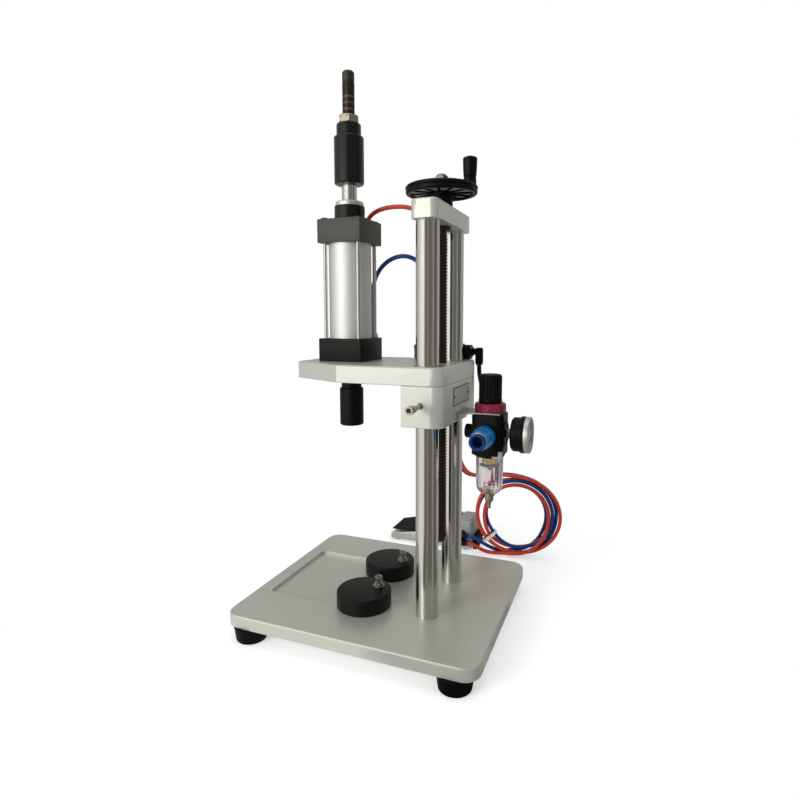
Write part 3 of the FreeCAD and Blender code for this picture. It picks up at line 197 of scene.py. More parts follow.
ANODISED = surface("black_anodised", (0.042, 0.044, 0.036), 0.42, grain=2200, spread=0.07, bump=0.2,
                   specular=0.25)
BLACKED = surface("blacked_steel", (0.0045, 0.005, 0.004), 0.38, grain=2200, spread=0.07, bump=0.15,
                  tint=0.2, specular=0.14)
SLEEVE = surface("black_sleeve", (0.0045, 0.005, 0.004), 0.22, grain=2200, spread=0.04, bump=0.05, tint=0.2,
                 specular=0.35)
PLASTIC = surface("black_plastic", (0.003, 0.003, 0.003), 0.4, grain=1600, spread=0.08, bump=0.15, tint=0.2,
                  specular=0.12)
RUBBER = surface("black_rubber", (0.0022, 0.0022, 0.0022), 0.6, grain=1200, spread=0.1, bump=0.3, tint=0.2,
                 specular=0.07)
TREAD = surface("tread_rubber", (0.014, 0.014, 0.012), 0.6, grain=1200, spread=0.1, bump=0.3, tint=0.2,
                specular=0.2)
TUBE = surface("tube_aluminium", (0.62, 0.61, 0.57), 0.42, 0.85, grain=1400, spread=0.05, bump=0.08,
               tint=0.04, stretch=(1, 1, 0.04))
BARREL = surface("cylinder_aluminium", (0.58, 0.575, 0.545), 0.52, 0.6, grain=1400, spread=0.05, bump=0.08,
                 tint=0.04)
BRONZE = surface("bronze", (0.50, 0.34, 0.16), 0.3, 1.0, grain=1400, spread=0.08, bump=0.1, tint=0.12)
BRASS = surface("sintered_brass", (0.66, 0.47, 0.24), 0.5, 0.2, grain=2600, spread=0.1, bump=0.7, tint=0.25)
LABEL = surface("label_sheet", (0.40, 0.40, 0.37), 0.4, 0.5, grain=2000, bump=0.1, tint=0.05)
CRIMSON = surface("crimson_plastic", (0.20, 0.012, 0.035), 0.32, grain=1200, bump=0.1, tint=0.12,
                  specular=0.35)
BLUE = surface("blue_plastic", (0.0, 0.15, 0.40), 0.22, grain=900, bump=0.08, coat=0.3, specular=0.3)
DARK_BLUE = surface("dark_blue_plastic", (0.002, 0.020, 0.13), 0.3, grain=900, tint=0.15, specular=0.3)
BOWL = clear_plastic("clear_bowl", (0.79, 0.765, 0.76), 0.09)
WINDOW = clear_plastic("gauge_glass", (0.93, 0.95, 0.95), 0.03)
RED_HOSE = surface("red_hose", (0.54, 0.042, 0.019), 0.3, grain=500, bump=0.05, tint=0.12, coat=0.15,
                   specular=0.3)
BLUE_HOSE = surface("blue_hose", (0.003, 0.035, 0.20), 0.3, grain=500, bump=0.05, tint=0.12, coat=0.15,
                    specular=0.3)
GREY = surface("grey_casting", (0.32, 0.325, 0.325), 0.5, 0.1, grain=1500, spread=0.08, bump=0.4, tint=0.08)
WHITE = surface("white_plastic", (0.72, 0.72, 0.70), 0.35, grain=700, bump=0.05, tint=0.03)
DIAL = surface("dial_paint", (0.80, 0.80, 0.78), 0.5, grain=900, tint=0.02)
NEEDLE = surface("needle_paint", (0.40, 0.02, 0.015), 0.4, grain=900)


# Outlines


def rounded(outline, size):
    """Round the inner corners of an open outline of (radius, height) points."""
    steps = 3
    made = [outline[0]]
    for before, corner, after in zip(outline, outline[1:], outline[2:]):
        a, b, c = Vector(before), Vector(corner), Vector(after)
        back = min(size, (a - b).length * 0.45, (c - b).length * 0.45)
        start = b + (a - b).normalized() * back
        end = b + (c - b).normalized() * back
        for i in range(steps + 1):
            t = i / steps
            made.append(tuple(start * (1 - t) ** 2 + b * 2 * t * (1 - t) + end * t ** 2))
    made.append(outline[-1])
    return made


def rod(radius, low, high, inner=0):
    """A plain round, or a collar that is open towards an inner radius."""
    return [(inner, low), (radius, low), (radius, high), (inner, high)]


def sleeve(inner, outer, low, high):
    """A closed ring."""
    return rod(outer, low, high, inner) + [(inner, low)]


def rectangle(left, right, low, high, corner=0.0, steps=5):
    """A rectangle's outline, with round corners where corner is above nought."""
    if not corner:
        return [(left, low), (right, low), (right, high), (left, high)]
    made = []
    for cx, cy, start in ((right - corner, high - corner, 0), (left + corner, high - corner, 90),
                          (left + corner, low + corner, 180), (right - corner, low + corner, 270)):
        for i in range(steps + 1):
            a = radians(start + 90 * i / steps)
            made.append((cx + corner * cos(a), cy + corner * sin(a)))
    return made


def hexagon(flat):
    """The radius of a hexagon at an angle, from half its width across the flats."""
    return lambda a: flat / cos((a + pi / 6) % (pi / 3) - pi / 6)


# Mesh helpers


def mesh_object(name, bm):
    data = bpy.data.meshes.new(name)
    bm.to_mesh(data)
    bm.free()
    return add_object(name, data)


def finish_mesh(name, bm, material, body, slot, *replaces, smooth=35.0):
    """Turn a bmesh into a piece that rides on a body and stands for the CAD nodes it replaces."""
    bmesh.ops.remove_doubles(bm, verts=bm.verts, dist=0.002 * MM)
    bmesh.ops.recalc_face_normals(bm, faces=bm.faces)
    piece = mesh_object(name, bm)
    for face in piece.data.polygons:
        face.use_smooth = True
    piece.data.set_sharp_from_angle(angle=radians(smooth))
    piece.data.materials.append(material)
    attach(piece, body)
    if replaces:
        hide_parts(*replaces)


def join_into(bm, part):
    """Copy a scratch bmesh in millimetres into bm in metres."""
    copies = {v: bm.verts.new(v.co * MM) for v in part.verts}
    for face in part.faces:
        bm.faces.new([copies[v] for v in face.verts])
    part.free()


def new_ring(bm, at, axis, radius, level, steps, scale=MM):
    """A ring of points round an axis; radius is a length or a function of the angle."""
    made = []
    for i in range(steps):
        a = 2 * pi * i / steps
        r = radius(a) if callable(radius) else radius
        spot = Vector(at) + AXES[axis] @ Vector((r * cos(a), r * sin(a), level))
        made.append(bm.verts.new(spot * scale))
    return made


def add_skin(bm, loops):
    """Faces between rings, one after the other; a ring of one point is the tip of a fan."""
    for low, high in zip(loops, loops[1:]):
        count = max(len(low), len(high))
        for i in range(count if count > 1 else 0):
            j = (i + 1) % count
            corners = (low[i % len(low)], low[j % len(low)], high[j % len(high)], high[i % len(high)])
            bm.faces.new(list(dict.fromkeys(corners)))


def add_turned(bm, outline, at, axis="z", steps=64, wave=None):
    """A solid of revolution from (radius, height) points; wave(angle, height) scales the radius."""
    rings = []
    for radius, height in outline:
        shape = (lambda a: radius * wave(a, height)) if wave else radius
        rings.append(new_ring(bm, at, axis, shape, height, 1 if radius < 1e-6 else steps))
    add_skin(bm, rings)


def turned_piece(name, outline, at, steps, material, body, slot, *replaces, axis="z", wave=None):
    bm = bmesh.new()
    add_turned(bm, outline, at, axis, steps, wave)
    finish_mesh(name, bm, material, body, slot, *replaces)


def add_prism(bm, outline, low, high, axis="z", bevel=0.0, segments=2, profile=0.6, sharp_angle=25):
    """An outline of (x, y) points drawn up from low to high, its edges rounded."""
    part = bmesh.new()
    foot, top = [[part.verts.new(AXES[axis] @ Vector((x, y, z))) for x, y in outline] for z in (low, high)]
    part.faces.new(foot[::-1])
    part.faces.new(top)
    add_skin(part, [foot, top])
    bmesh.ops.recalc_face_normals(part, faces=part.faces)
    if bevel:
        sharp = [e for e in part.edges if e.calc_face_angle(0.0) > radians(sharp_angle)]
        bmesh.ops.bevel(part, geom=sharp, offset=bevel, segments=segments, profile=profile, affect="EDGES",
                        clamp_overlap=True)
    join_into(bm, part)


def add_box(bm, low, high, bevel=0.4):
    add_prism(bm, rectangle(low[0], high[0], low[1], high[1]), low[2], high[2], bevel=bevel)


def add_block(bm, centre, halves, bevel=0.0, segments=1):
    """A block round a centre, from the vectors to three of its faces."""
    part = bmesh.new()
    for v in bmesh.ops.create_cube(part, size=2.0)["verts"]:
        v.co = centre + halves[0] * v.co.x + halves[1] * v.co.y + halves[2] * v.co.z
    if bevel:
        bmesh.ops.bevel(part, geom=part.edges[:], offset=bevel, segments=segments, affect="EDGES",
                        clamp_overlap=True)
    join_into(bm, part)


def add_nut(bm, radius, height, at, axis="z", hole=0.0):
    """A hexagon nut with chamfered corners, solid or with a hole."""
    flat = radius * cos(pi / 6)
    chamfer = (radius - flat) * 0.6
    side = hexagon(flat)
    part = bmesh.new()

    def trimmed(a):
        return min(side(a), flat * 1.01)

    def ring(shape, level):
        return new_ring(part, at, axis, shape, level, 48, 1)

    loops = [ring(trimmed, 0), ring(side, chamfer), ring(side, height - chamfer), ring(trimmed, height)]
    if hole:
        inner = [ring(hole, 0), ring(hole, height)]
        loops = [inner[0]] + loops + [inner[1], inner[0]]
    else:
        part.faces.new(loops[0][::-1])
        part.faces.new(loops[-1])
    add_skin(part, loops)
    join_into(bm, part)


def add_socket_screw(bm, radius, height, at, axis="z", key=0.5):
    """A socket head: knurled side, chamfered rim and a six-sided well; at is the head's foot."""
    steps, teeth = 60, 30
    rim = radius * 0.08
    hole = radius * key

    def ripple(angle, level):
        return 1.0 + (0.02 * cos(angle * teeth) if 0.2 * height < level < 0.8 * height else 0.0)

    add_turned(bm, [
        (0, 0), (radius, 0), (radius, height * 0.25), (radius, height * 0.75), (radius, height - rim),
        (radius - rim, height), (hole * 1.12, height), (hole, height - rim)], at, axis, steps, ripple)
    loops = [new_ring(bm, at, axis, hole, height - rim, steps)]
    for level in (height - rim * 1.5, height * 0.45):
        loops.append(new_ring(bm, at, axis, hexagon(hole * 0.866), level, steps))
    add_skin(bm, loops)
    bm.faces.new(loops[-1])


def add_thread(bm, outer, depth, pitch, low, high, at, axis="z", steps=24):
    """A helical ridge on a plain core between two heights, fading in and out over one turn."""
    root = outer - depth
    count = int(((high - low) / pitch - 1.0) * steps)
    profile = ((0.0, 0.0), (0.18, 0.0), (0.38, 1.0), (0.62, 1.0), (0.82, 0.0), (1.0, 0.0))
    rows = []
    for i in range(count + 1):
        a = 2 * pi * i / steps
        fade = min(1.0, i / steps, (count - i) / steps)
        row = []
        for along, rise in profile:
            r = root + depth * rise * fade
            spot = Vector((r * cos(a), r * sin(a), low + pitch * (i / steps + along)))
            row.append(bm.verts.new((Vector(at) + AXES[axis] @ spot) * MM))
        rows.append(row)
    for near, far in zip(rows, rows[1:]):
        for k in range(len(profile) - 1):
            bm.faces.new([near[k], far[k], far[k + 1], near[k + 1]])


# Cords


def spline_points(points):
    """Points along the smooth NURBS curve whose control points are given, in metres."""
    curve = nurbs("RouteLine", points, 0.0)
    depsgraph = bpy.context.evaluated_depsgraph_get()
    line = bpy.data.meshes.new_from_object(curve.evaluated_get(depsgraph))
    found = [v.co.copy() for v in line.vertices]
    bpy.data.objects.remove(curve)
    bpy.data.meshes.remove(line)
    return found


def nurbs(name, points, radius):
    data = bpy.data.curves.new(name, "CURVE")
    data.dimensions = "3D"
    spline = data.splines.new("NURBS")
    spline.points.add(len(points) - 1)
    for point, place in zip(spline.points, points):
        point.co = (*[c * MM for c in place], 1.0)
    spline.order_u = 3
    spline.use_endpoint_u = True
    spline.resolution_u = 8
    data.bevel_depth = radius * MM
    data.bevel_resolution = 5
    data.use_fill_caps = True
    curve = add_object(name, data)
    bpy.context.view_layer.update()
    return curve


def tube_mesh(name, path, radius):
    """A round tube of radius in metres along a path."""
    bm = bmesh.new()
    sides = 14
    side = (path[1] - path[0]).normalized().orthogonal().normalized()
    rings = []
    for i, spot in enumerate(path):
        heading = (path[min(i + 1, len(path) - 1)] - path[max(i - 1, 0)]).normalized()
        side = (side - heading * side.dot(heading)).normalized()
        up = heading.cross(side)
        angles = [2 * pi * k / sides for k in range(sides)]
        rings.append([bm.verts.new(spot + radius * (side * cos(a) + up * sin(a))) for a in angles])
    add_skin(bm, rings)
    bm.faces.new(rings[0][::-1])
    bm.faces.new(rings[-1])
    piece = mesh_object(name, bm)
    for face in piece.data.polygons:
        face.use_smooth = len(face.vertices) == 4
    return piece


def path_length(points):
    return sum((b - a).length for a, b in zip(points, points[1:]))


HOSE_RADIUS = 3.0
LANE = 3.2
COIL_CENTRE = Vector((-240, 130, 37))
COIL_RADIUS = 60.0
COIL_TURN = radians(10.0)
COIL_AXIS = Vector((cos(COIL_TURN), sin(COIL_TURN), 0))
COIL_LEVEL = Vector((-sin(COIL_TURN), cos(COIL_TURN), 0))
COIL_START = 84
COIL_END = 262 - 360 * 3
EXIT_SHIFT = 6.3


def coil_spot(angle, radius, sideways):
    spoke = COIL_LEVEL * cos(angle) + UP * sin(angle)
    return COIL_CENTRE + spoke * radius + COIL_AXIS * sideways


def ease(share):
    return 0.5 - 0.5 * cos(pi * min(1.0, max(0.0, share)))


def coil_turns(radii, side):
    """Control points of the coil from its top down the far side; radii are given for each quarter turn.

    The two hoses lie side by side, red towards the camera, and change sides twice on the way.
    """
    sweep = COIL_START - COIL_END
    count = (len(radii) - 1) * 4
    made = []
    for i in range(count + 1):
        angle = sweep * i / count
        k = min(i // 4, len(radii) - 2)
        radius = radii[k] + (radii[k + 1] - radii[k]) * ease(i / 4 - k)
        twist = pi * (ease((angle - 264) / 90) - ease((angle - 534) / 90))
        radius += side * LANE * sin(twist)
        sideways = side * (LANE * cos(twist) + EXIT_SHIFT * ease((angle - 795) / 50))
        made.append(tuple(coil_spot(radians(COIL_START - angle), radius, sideways)))
    return made


def coil_approach(lane):
    """The point before the coil, on the line that enters it at the top."""
    a = radians(COIL_START)
    onward = COIL_LEVEL * sin(a) - UP * cos(a)
    return tuple(coil_spot(a, COIL_RADIUS + 6, lane) + onward * -30)


def long_hose(name, colour, feed, radii, side, lead_out, slot, *nodes):
    """The hose from the valve through its turns in the coil to the foot valve."""
    path = spline_points(feed + [coil_approach(side * LANE)] + coil_turns(radii, side) + lead_out)
    piece = tube_mesh(name, path, HOSE_RADIUS * MM)
    piece.data.materials.append(colour)
    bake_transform(piece)
    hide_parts(*nodes)


RED_FEED = [(-97, 50, 320.5), (-113, 50, 320.5), (-129, 49, 305.5), (-138, 47, 261.5), (-141, 46, 215.5),
            (-149, 49, 171.5), (-173, 57.5, 119.5), (-206, 76, 106.5)]
BLUE_FEED = [(-97, 34, 320.5), (-111, 34, 320.5), (-126, 35, 307.5), (-136, 36, 267.5), (-140, 38, 221.5),
             (-150, 42, 171.5), (-178, 52, 117.5), (-212, 72, 104.5)]
RED_RADII = (66, 73, 65.5, 67, 59.8, 60, 58, 54.2, 52.6, 53.5, 66)
BLUE_RADII = (66, 66.5, 68.5, 67, 59.8, 60, 56, 52, 51, 49.5, 66)
RED_OUT = [(-233.5, 108.5, -30.3), (-229, 93.5, -31.3), (-225, 74.5, -28), (-224, 60.5, -19),
           (-224, 48.5, -19)]
BLUE_OUT = [(-241, 107.5, -31), (-235.5, 91.5, -26.5), (-226, 75.5, -15), (-224, 60.5, -6), (-224, 48.5, -6)]


def build_long_hoses():
    long_hose("hose_red_long", RED_HOSE, RED_FEED, RED_RADII, 1, RED_OUT, "red_hose",
              "hose_red_feed", "hose_red_pedal", "hose_coil")
    long_hose("hose_blue_long", BLUE_HOSE, BLUE_FEED, BLUE_RADII, -1, BLUE_OUT, "blue_hose",
              "hose_blue_feed", "hose_blue_pedal", "hose_coil")


def short_hose(name, colour, start, steps, node):
    """A hose that rides on the arm, from its start through points counted from there."""
    points = [tuple(a + b for a, b in zip(start, step)) for step in [(0, 0, 0)] + steps]
    curve = nurbs(name, points, HOSE_RADIUS)
    curve.data.materials.append(colour)
    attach(curve, "carriage")
    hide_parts(node)
    path_length(spline_points(points))


def build_short_hoses():
    short_hose("hose_red_port", RED_HOSE, (-40.25, -52, 478), [
        (0, 0, 11), (0, 4.5, 23), (0, 14, 33), (-1, 29, 38.5), (-3, 48, 40), (-6, 67, 38), (-10, 84, 29),
        (-15, 96, 12), (-20, 102, -12), (-25, 104, -42), (-30.75, 103.5, -74), (-34.75, 102, -102),
        (-35.75, 102, -126), (-35.75, 102, -136)], "hose_red_cylinder")
    short_hose("hose_blue_port", BLUE_HOSE, (-40.25, -38, 345.5), [
        (0, 0, 26), (0, -3, 56), (0, 4, 82), (0, 21, 100), (-2, 43, 107), (-6, 62, 101), (-12, 71, 85),
        (-20, 76, 62), (-28, 74, 38), (-34.75, 72, 18), (-35.75, 72, 5.5), (-35.75, 72, -3.5)],
        "hose_blue_cylinder")
    short_hose("hose_air_line", PLASTIC, (-76, 105.25, 302.5), [
        (0, 0, -16), (-2, 7, -38), (1, 20, -63.5), (20, 34.75, -77.5), (42, 34.75, -77.5)],
        "hose_air")


def build_cable_tie():
    """A flat band round the bundle, its lock and its cut tail."""
    angle = radians(222)
    outward = COIL_LEVEL * cos(angle) + UP * sin(angle)
    along = COIL_AXIS.cross(outward)
    centre = COIL_CENTRE + outward * COIL_RADIUS
    across, out, corner = 8.0, 13.0, 6.0
    thick, half_width = 1.2, 2.3
    bm = bmesh.new()
    inner = rectangle(-across, across, -out, out, corner, 6)
    outer = rectangle(-across - thick, across + thick, -out - thick, out + thick, corner + thick, 6)
    rings = []
    low, high = along * -half_width, along * half_width
    for outline, level in ((inner, low), (outer, low), (outer, high), (inner, high)):
        rings.append([bm.verts.new((centre + COIL_AXIS * a + outward * b + level) * MM) for a, b in outline])
    add_skin(bm, rings + rings[:1])
    for offset, size in ((1.2, (1.6, 3.0, 3.0)), (4.5, (4.5, 1.8, 0.6))):
        halves = [axis * half for axis, half in zip((COIL_AXIS, outward, along), size)]
        add_block(bm, centre + COIL_AXIS * (across + thick + offset), halves, 0.35, 2)
    finish_mesh("cable_tie_band", bm, WHITE, "frame", "white_plastic", "cable_tie")


build_long_hoses()
build_short_hoses()
build_cable_tie()


# Levels of the frame, from the base plate's top

FLOOR = -35
BASE_LOW = -15
BLOCK_LOW = 239
HEAD_TOP = 286
ARM_TOP = 310
TUBE_LOW = 340
TUBE_HIGH = 464
CAP_HIGH = 494
TOP_HIGH = 502
BOSS_HIGH = 513
WHEEL_LOW = 518.3
WHEEL_TOP = 536.3
GRIP_LOW = 538.4
SLEEVE_LOW = 541
STEP_LOW = 602
STEP_HIGH = 618
LOCK_HIGH = 628
ROD_END = 684
COLUMN_X = 50
COLUMN_Y = 75
CYLINDER_Y = -53
LEAD_AXIS = (0, COLUMN_Y, 0)
CYLINDER_AXIS = (0, CYLINDER_Y, 0)


def dress_nodes():
    """CAD nodes whose shape is right keep it and get the scene's materials."""
    finishes = {
        "base_plate": ALUMINIUM, "top_plate": ALUMINIUM, "arm_plate": ALUMINIUM, "clamp_block": ALUMINIUM,
        "column_right": STEEL, "column_left": STEEL, "guide_bushes": BRONZE, "lead_nut": BRONZE,
        "label_plate": LABEL, "cylinder_tube": BARREL, "regulator_bracket": SCREW, "pedal_tray": TUBE,
        "gauge_needle": NEEDLE,
    }
    for name, finish in finishes.items():
        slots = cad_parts[name].data.materials
        slots.clear()
        slots.append(finish)
    for name in ("top_plate", "arm_plate", "clamp_block", "regulator_bracket", "pedal_tray"):
        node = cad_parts[name]
        weld = node.modifiers.new("Weld", "WELD")
        weld.merge_threshold = 0.002 * MM
        edge = node.modifiers.new("EdgeRound", "BEVEL")
        edge.width = (0.3 if name in ("regulator_bracket", "pedal_tray") else 1.1) * MM
        edge.segments = 3
        edge.limit_method = "ANGLE"
        edge.angle_limit = radians(50)
        edge.harden_normals = True


def build_feet():
    bm = bmesh.new()
    outline = rounded([
        (0, 0), (17.5, 0), (19, 1.5), (20.2, 10), (21.2, 17.6), (22, 18), (22, 20), (0, 20)], 0.8)
    for x in (-122, 122):
        for y in (-134, 134):
            add_turned(bm, outline, (x, y, FLOOR), steps=72)
    finish_mesh("rubber_foot_set", bm, RUBBER, "frame", "black_rubber", "rubber_feet")


def build_column_screws():
    bm = bmesh.new()
    for x in (-COLUMN_X, COLUMN_X):
        add_socket_screw(bm, 7, 5, (x, COLUMN_Y, TOP_HIGH - 5))
        add_socket_screw(bm, 7, 5, (x, COLUMN_Y, BASE_LOW + 5), "-z")
        for low in (TOP_HIGH - 20, BASE_LOW + 5):
            add_turned(bm, rod(4, 0, 15), (x, COLUMN_Y, low), steps=32)
    finish_mesh("column_cap_screws", bm, SCREW, "frame", "screw_steel", "column_screws")


def build_lead_screw():
    low, shoulder = 76, 479.7
    bm = bmesh.new()
    add_turned(bm, rounded([
        (0, low), (6.2, low), (6.6, low + 1.2), (6.6, shoulder - 6), (12, shoulder - 6), (12, shoulder),
        (6, shoulder), (6, WHEEL_TOP), (0, WHEEL_TOP)], 0.6), LEAD_AXIS, steps=48)
    add_thread(bm, 8.0, 1.5, 4.0, low + 1, shoulder - 8, LEAD_AXIS)
    finish_mesh("lead_screw_thread", bm, LEAD, "lead", "lead_steel", "lead_screw", smooth=28)


HANDLE_ANGLE = radians(100)
HANDLE_AT = (35 * cos(HANDLE_ANGLE), COLUMN_Y + 35 * sin(HANDLE_ANGLE))


def build_handwheel():
    """A moulded wheel; underneath, a grey web and radial ribs fill the hollow between hub and rim."""
    at = (0, COLUMN_Y, WHEEL_LOW)
    hub_low = TOP_HIGH + 0.3 - WHEEL_LOW
    bm = bmesh.new()
    add_turned(bm, rounded([
        (6.05, hub_low), (14, hub_low), (14, 9), (15, 10), (36.5, 9.5), (38.5, 5.4), (38.5, 0), (43, 0),
        (44.4, 1.4), (44.4, 5), (43.6, 5.5), (43.6, 6.3), (45, 7), (45, 8), (43.6, 10.2), (40.5, 11.4),
        (36.5, 11.8), (33, 11.2), (16, 10.6), (13.2, 15.6), (12, 18), (6.05, 18), (6.05, hub_low)], 1.0),
        at, steps=120)
    add_turned(bm, rounded([(3.6, 10), (6.8, 10), (6.4, 18), (3.6, 18), (3.6, 10)], 0.5),
               (*HANDLE_AT, WHEEL_LOW), steps=40)
    ribs = 12
    for i in range(ribs):
        a = 2 * pi * i / ribs + 0.2
        spoke, sideways = Vector((cos(a), sin(a), 0)), Vector((-sin(a), cos(a), 0))
        halves = (spoke * 12.6, sideways * 1.1, UP * 4.6)
        add_block(bm, Vector(at) + spoke * 26 + UP * 5.5, halves, 0.4)
    finish_mesh("handwheel_moulding", bm, PLASTIC, "lead", "black_plastic", "handwheel")
    turned_piece("handwheel_web", sleeve(14.2, 38.3, 2.6, 3.8), at, 96, GREY, "lead", "grey_casting")


def build_dome_nut():
    at = (0, COLUMN_Y, WHEEL_TOP)
    bm = bmesh.new()
    add_turned(bm, rounded(rod(9.4, -0.4, 0.7), 0.3), at, steps=56)
    add_nut(bm, 8.4, 3.6, (0, COLUMN_Y, WHEEL_TOP + 0.6))
    dome = [(6.9 * cos(radians(a)), 4.0 + 3.8 * sin(radians(a))) for a in range(0, 90, 10)]
    add_turned(bm, [(0, 3.8), (6.9, 3.8)] + dome + [(0, 7.8)], at, steps=48)
    finish_mesh("dome_nut_turned", bm, BOLT, "lead", "polished_steel", "dome_nut")


def build_handle():
    at = (*HANDLE_AT, GRIP_LOW)
    turned_piece("handle_spindle", rounded([
        (0, -14.1), (3.5, -14.1), (3.5, -8.4), (8.0, -8.4), (7.6, -0.3), (3.5, -0.3), (3.5, 22.8),
        (0, 22.8)], 0.4), at, 48, PLASTIC, "lead", "black_plastic", "handle_pin")
    cap = rounded([(0, 22.6), (5.2, 22.6), (5.2, 23.8), (4.2, 24.4), (0, 24.4)], 0.5)
    turned_piece("handle_spindle_cap", cap, at, 48, PLASTIC, "lead", "black_plastic", "handle_pin")
    turned_piece("handle_grip_moulding", rounded([
        (3.65, 0), (7.8, 0), (8.4, 8), (8.8, 19), (8.7, 22), (8.0, 23), (5.4, 23), (5.4, 22.4), (3.65, 22.4),
        (3.65, 0)], 0.8), at, 64, PLASTIC, "handle", "black_plastic", "handle_grip")


def build_nut_screws():
    """Four small screws in the flange of the bronze nut."""
    bm = bmesh.new()
    for i in range(4):
        a = pi / 4 + pi / 2 * i
        add_socket_screw(bm, 2.2, 2.0, (16 * cos(a), COLUMN_Y + 16 * sin(a), BLOCK_LOW - 5), "-z")
    finish_mesh("lead_nut_screws", bm, SCREW, "carriage", "screw_steel")


def build_label():
    """The blank plate's raised rim and its two rivets."""
    bm = bmesh.new()
    face = 102.6
    low, high = BLOCK_LOW + 21, BLOCK_LOW + 43
    bars = ((-33, 33, low, low + 0.8), (-33, 33, high - 0.8, high), (-33, -32.2, low, high),
            (32.2, 33, low, high))
    for left, right, down, up in bars:
        add_box(bm, (left, face - 0.1, down), (right, face + 0.25, up), bevel=0.08)
    rivet = [(1.6, 0), (1.6, 0.3), (1.1, 0.8), (0, 1.0)]
    for x in (-29, 29):
        add_turned(bm, rivet, (x, face, (low + high) / 2), "y", steps=24)
    finish_mesh("label_rim", bm, PLASTIC, "carriage", "black_plastic")


def build_clamp_screw():
    bm = bmesh.new()
    z = BLOCK_LOW + 26
    add_turned(bm, rounded(rod(3, 68.3, 99), 0.2), (0, COLUMN_Y, z), "x", steps=40)
    add_thread(bm, 3.0, 0.35, 1.0, 0, 22, (76, COLUMN_Y, z), "x", steps=20)
    add_socket_screw(bm, 5.0, 12, (98, COLUMN_Y, z), "x", key=0.56)
    finish_mesh("clamp_screw_steel", bm, SCREW, "clamp", "screw_steel", "clamp_screw")


# The cylinder's upper and lower port: y, z and the level of the elbow's mouth

PORTS = ((-52, TUBE_HIGH + 6, TUBE_HIGH + 14), (-38, TUBE_LOW - 12, TUBE_LOW + 5.5))


def cap_block(name, low, port, finish, node):
    """A square end cap with rounded edges and a port boss on the far side."""
    bm = bmesh.new()
    add_prism(bm, rectangle(-32, 32, CYLINDER_Y - 32, CYLINDER_Y + 32, 3.0, 4), low, low + 30, bevel=0.9)
    add_turned(bm, rounded(rod(7.0, 31.5, 32.6, 5.0), 0.3), (0, port[0], port[1]), "-x", steps=40)
    finish_mesh(name, bm, finish, "carriage", "black_anodised", node)


def build_cylinder():
    # Both end caps are the same black anodised part; the lower, front cap is given the darker blacked finish
    # as painted shade, so that it renders darker than the upper cap.
    cap_block("cylinder_cap_front", ARM_TOP, PORTS[1], BLACKED, "cylinder_cap_low")
    cap_block("cylinder_cap_rear", TUBE_HIGH, PORTS[0], ANODISED, "cylinder_cap_high")
    spots = [(x, CYLINDER_Y + y) for x in (-24, 24) for y in (-24, 24)]
    bm = bmesh.new()
    for x, y in spots:
        add_turned(bm, rod(2.6, ARM_TOP + 1, CAP_HIGH - 1), (x, y, 0), steps=28)
    finish_mesh("tie_rod_set", bm, CHROME, "carriage", "polished_steel", "tie_rods")
    bm = bmesh.new()
    for x, y in spots:
        add_nut(bm, 5.5, 2.0, (x, y, CAP_HIGH - 0.3))
        add_turned(bm, [(0, 1), (2.6, 1), (2.6, 2.0), (2.0, 2.4), (0, 2.4)], (x, y, CAP_HIGH), steps=28)
    finish_mesh("tie_rod_nuts", bm, BLACKED, "carriage", "black_anodised", "tie_rods")
    boss = rounded(sleeve(10.1, 20, CAP_HIGH - 0.3, BOSS_HIGH), 0.8)
    turned_piece("rod_boss_black", boss, CYLINDER_AXIS, 80, SLEEVE, "carriage", "black_anodised", "rod_boss")
    turned_piece("wiper_ring_turned", rounded([
        (10.1, 0), (18.5, 0), (18.5, 4.6), (17.2, 6), (12.2, 6), (11.4, 4.6), (10.1, 4.4), (10.1, 0)], 0.5),
        (0, CYLINDER_Y, BOSS_HIGH), 80, TUBE, "carriage", "tube_aluminium", "wiper_ring")


def build_ram():
    bm = bmesh.new()
    step = STEP_LOW + 2.5
    add_turned(bm, [(0, 264), (10, 264), (10, step), (7.0, step), (7.0, STEP_HIGH)], CYLINDER_AXIS, steps=72)
    add_turned(bm, rounded(rod(24.95, 447, 463), 0.6), CYLINDER_AXIS, steps=72)
    finish_mesh("piston_rod_chrome", bm, CHROME, "ram", "polished_steel", "piston_rod")
    bm = bmesh.new()
    foot, thread_top = STEP_HIGH - 8, ROD_END - 13
    add_turned(bm, rounded([
        (0, foot), (7.1, foot), (7.1, thread_top), (7.9, thread_top + 0.8), (7.9, ROD_END - 2.2),
        (6.2, ROD_END), (0, ROD_END)], 0.5), CYLINDER_AXIS, steps=56)
    add_thread(bm, 8.0, 0.9, 1.5, foot + 2, thread_top + 1, CYLINDER_AXIS)
    finish_mesh("rod_stud_thread", bm, STUD, "ram", "polished_steel", smooth=28)
    turned_piece("press_head_black", rounded([
        (0, 0), (14.6, 0), (16, 1.4), (16, 49.6), (15, 51), (13.5, 51.2), (13.5, 64), (10, 64)], 0.7),
        (0, CYLINDER_Y, HEAD_TOP - 64), 80, PLASTIC, "ram", "black_plastic", "press_head")


def build_stop():
    turned_piece("stop_sleeve_black", rounded([
        (10.4, 0), (18, 0), (19.5, 1.5), (19.5, 59.5), (18, 61), (16.2, 61.2), (16, 63), (16, 75.8),
        (14.8, 77), (8.1, 77), (8.1, 67), (10.4, 66), (10.4, 0)], 0.8), (0, CYLINDER_Y, SLEEVE_LOW), 96,
        SLEEVE, "stop", "black_anodised", "stop_sleeve")
    bm = bmesh.new()
    add_nut(bm, 14, LOCK_HIGH - STEP_HIGH - 0.3, (0, CYLINDER_Y, STEP_HIGH + 0.3), hole=8.1)
    finish_mesh("lock_nut_steel", bm, NUT, "lock", "screw_steel", "lock_nut")


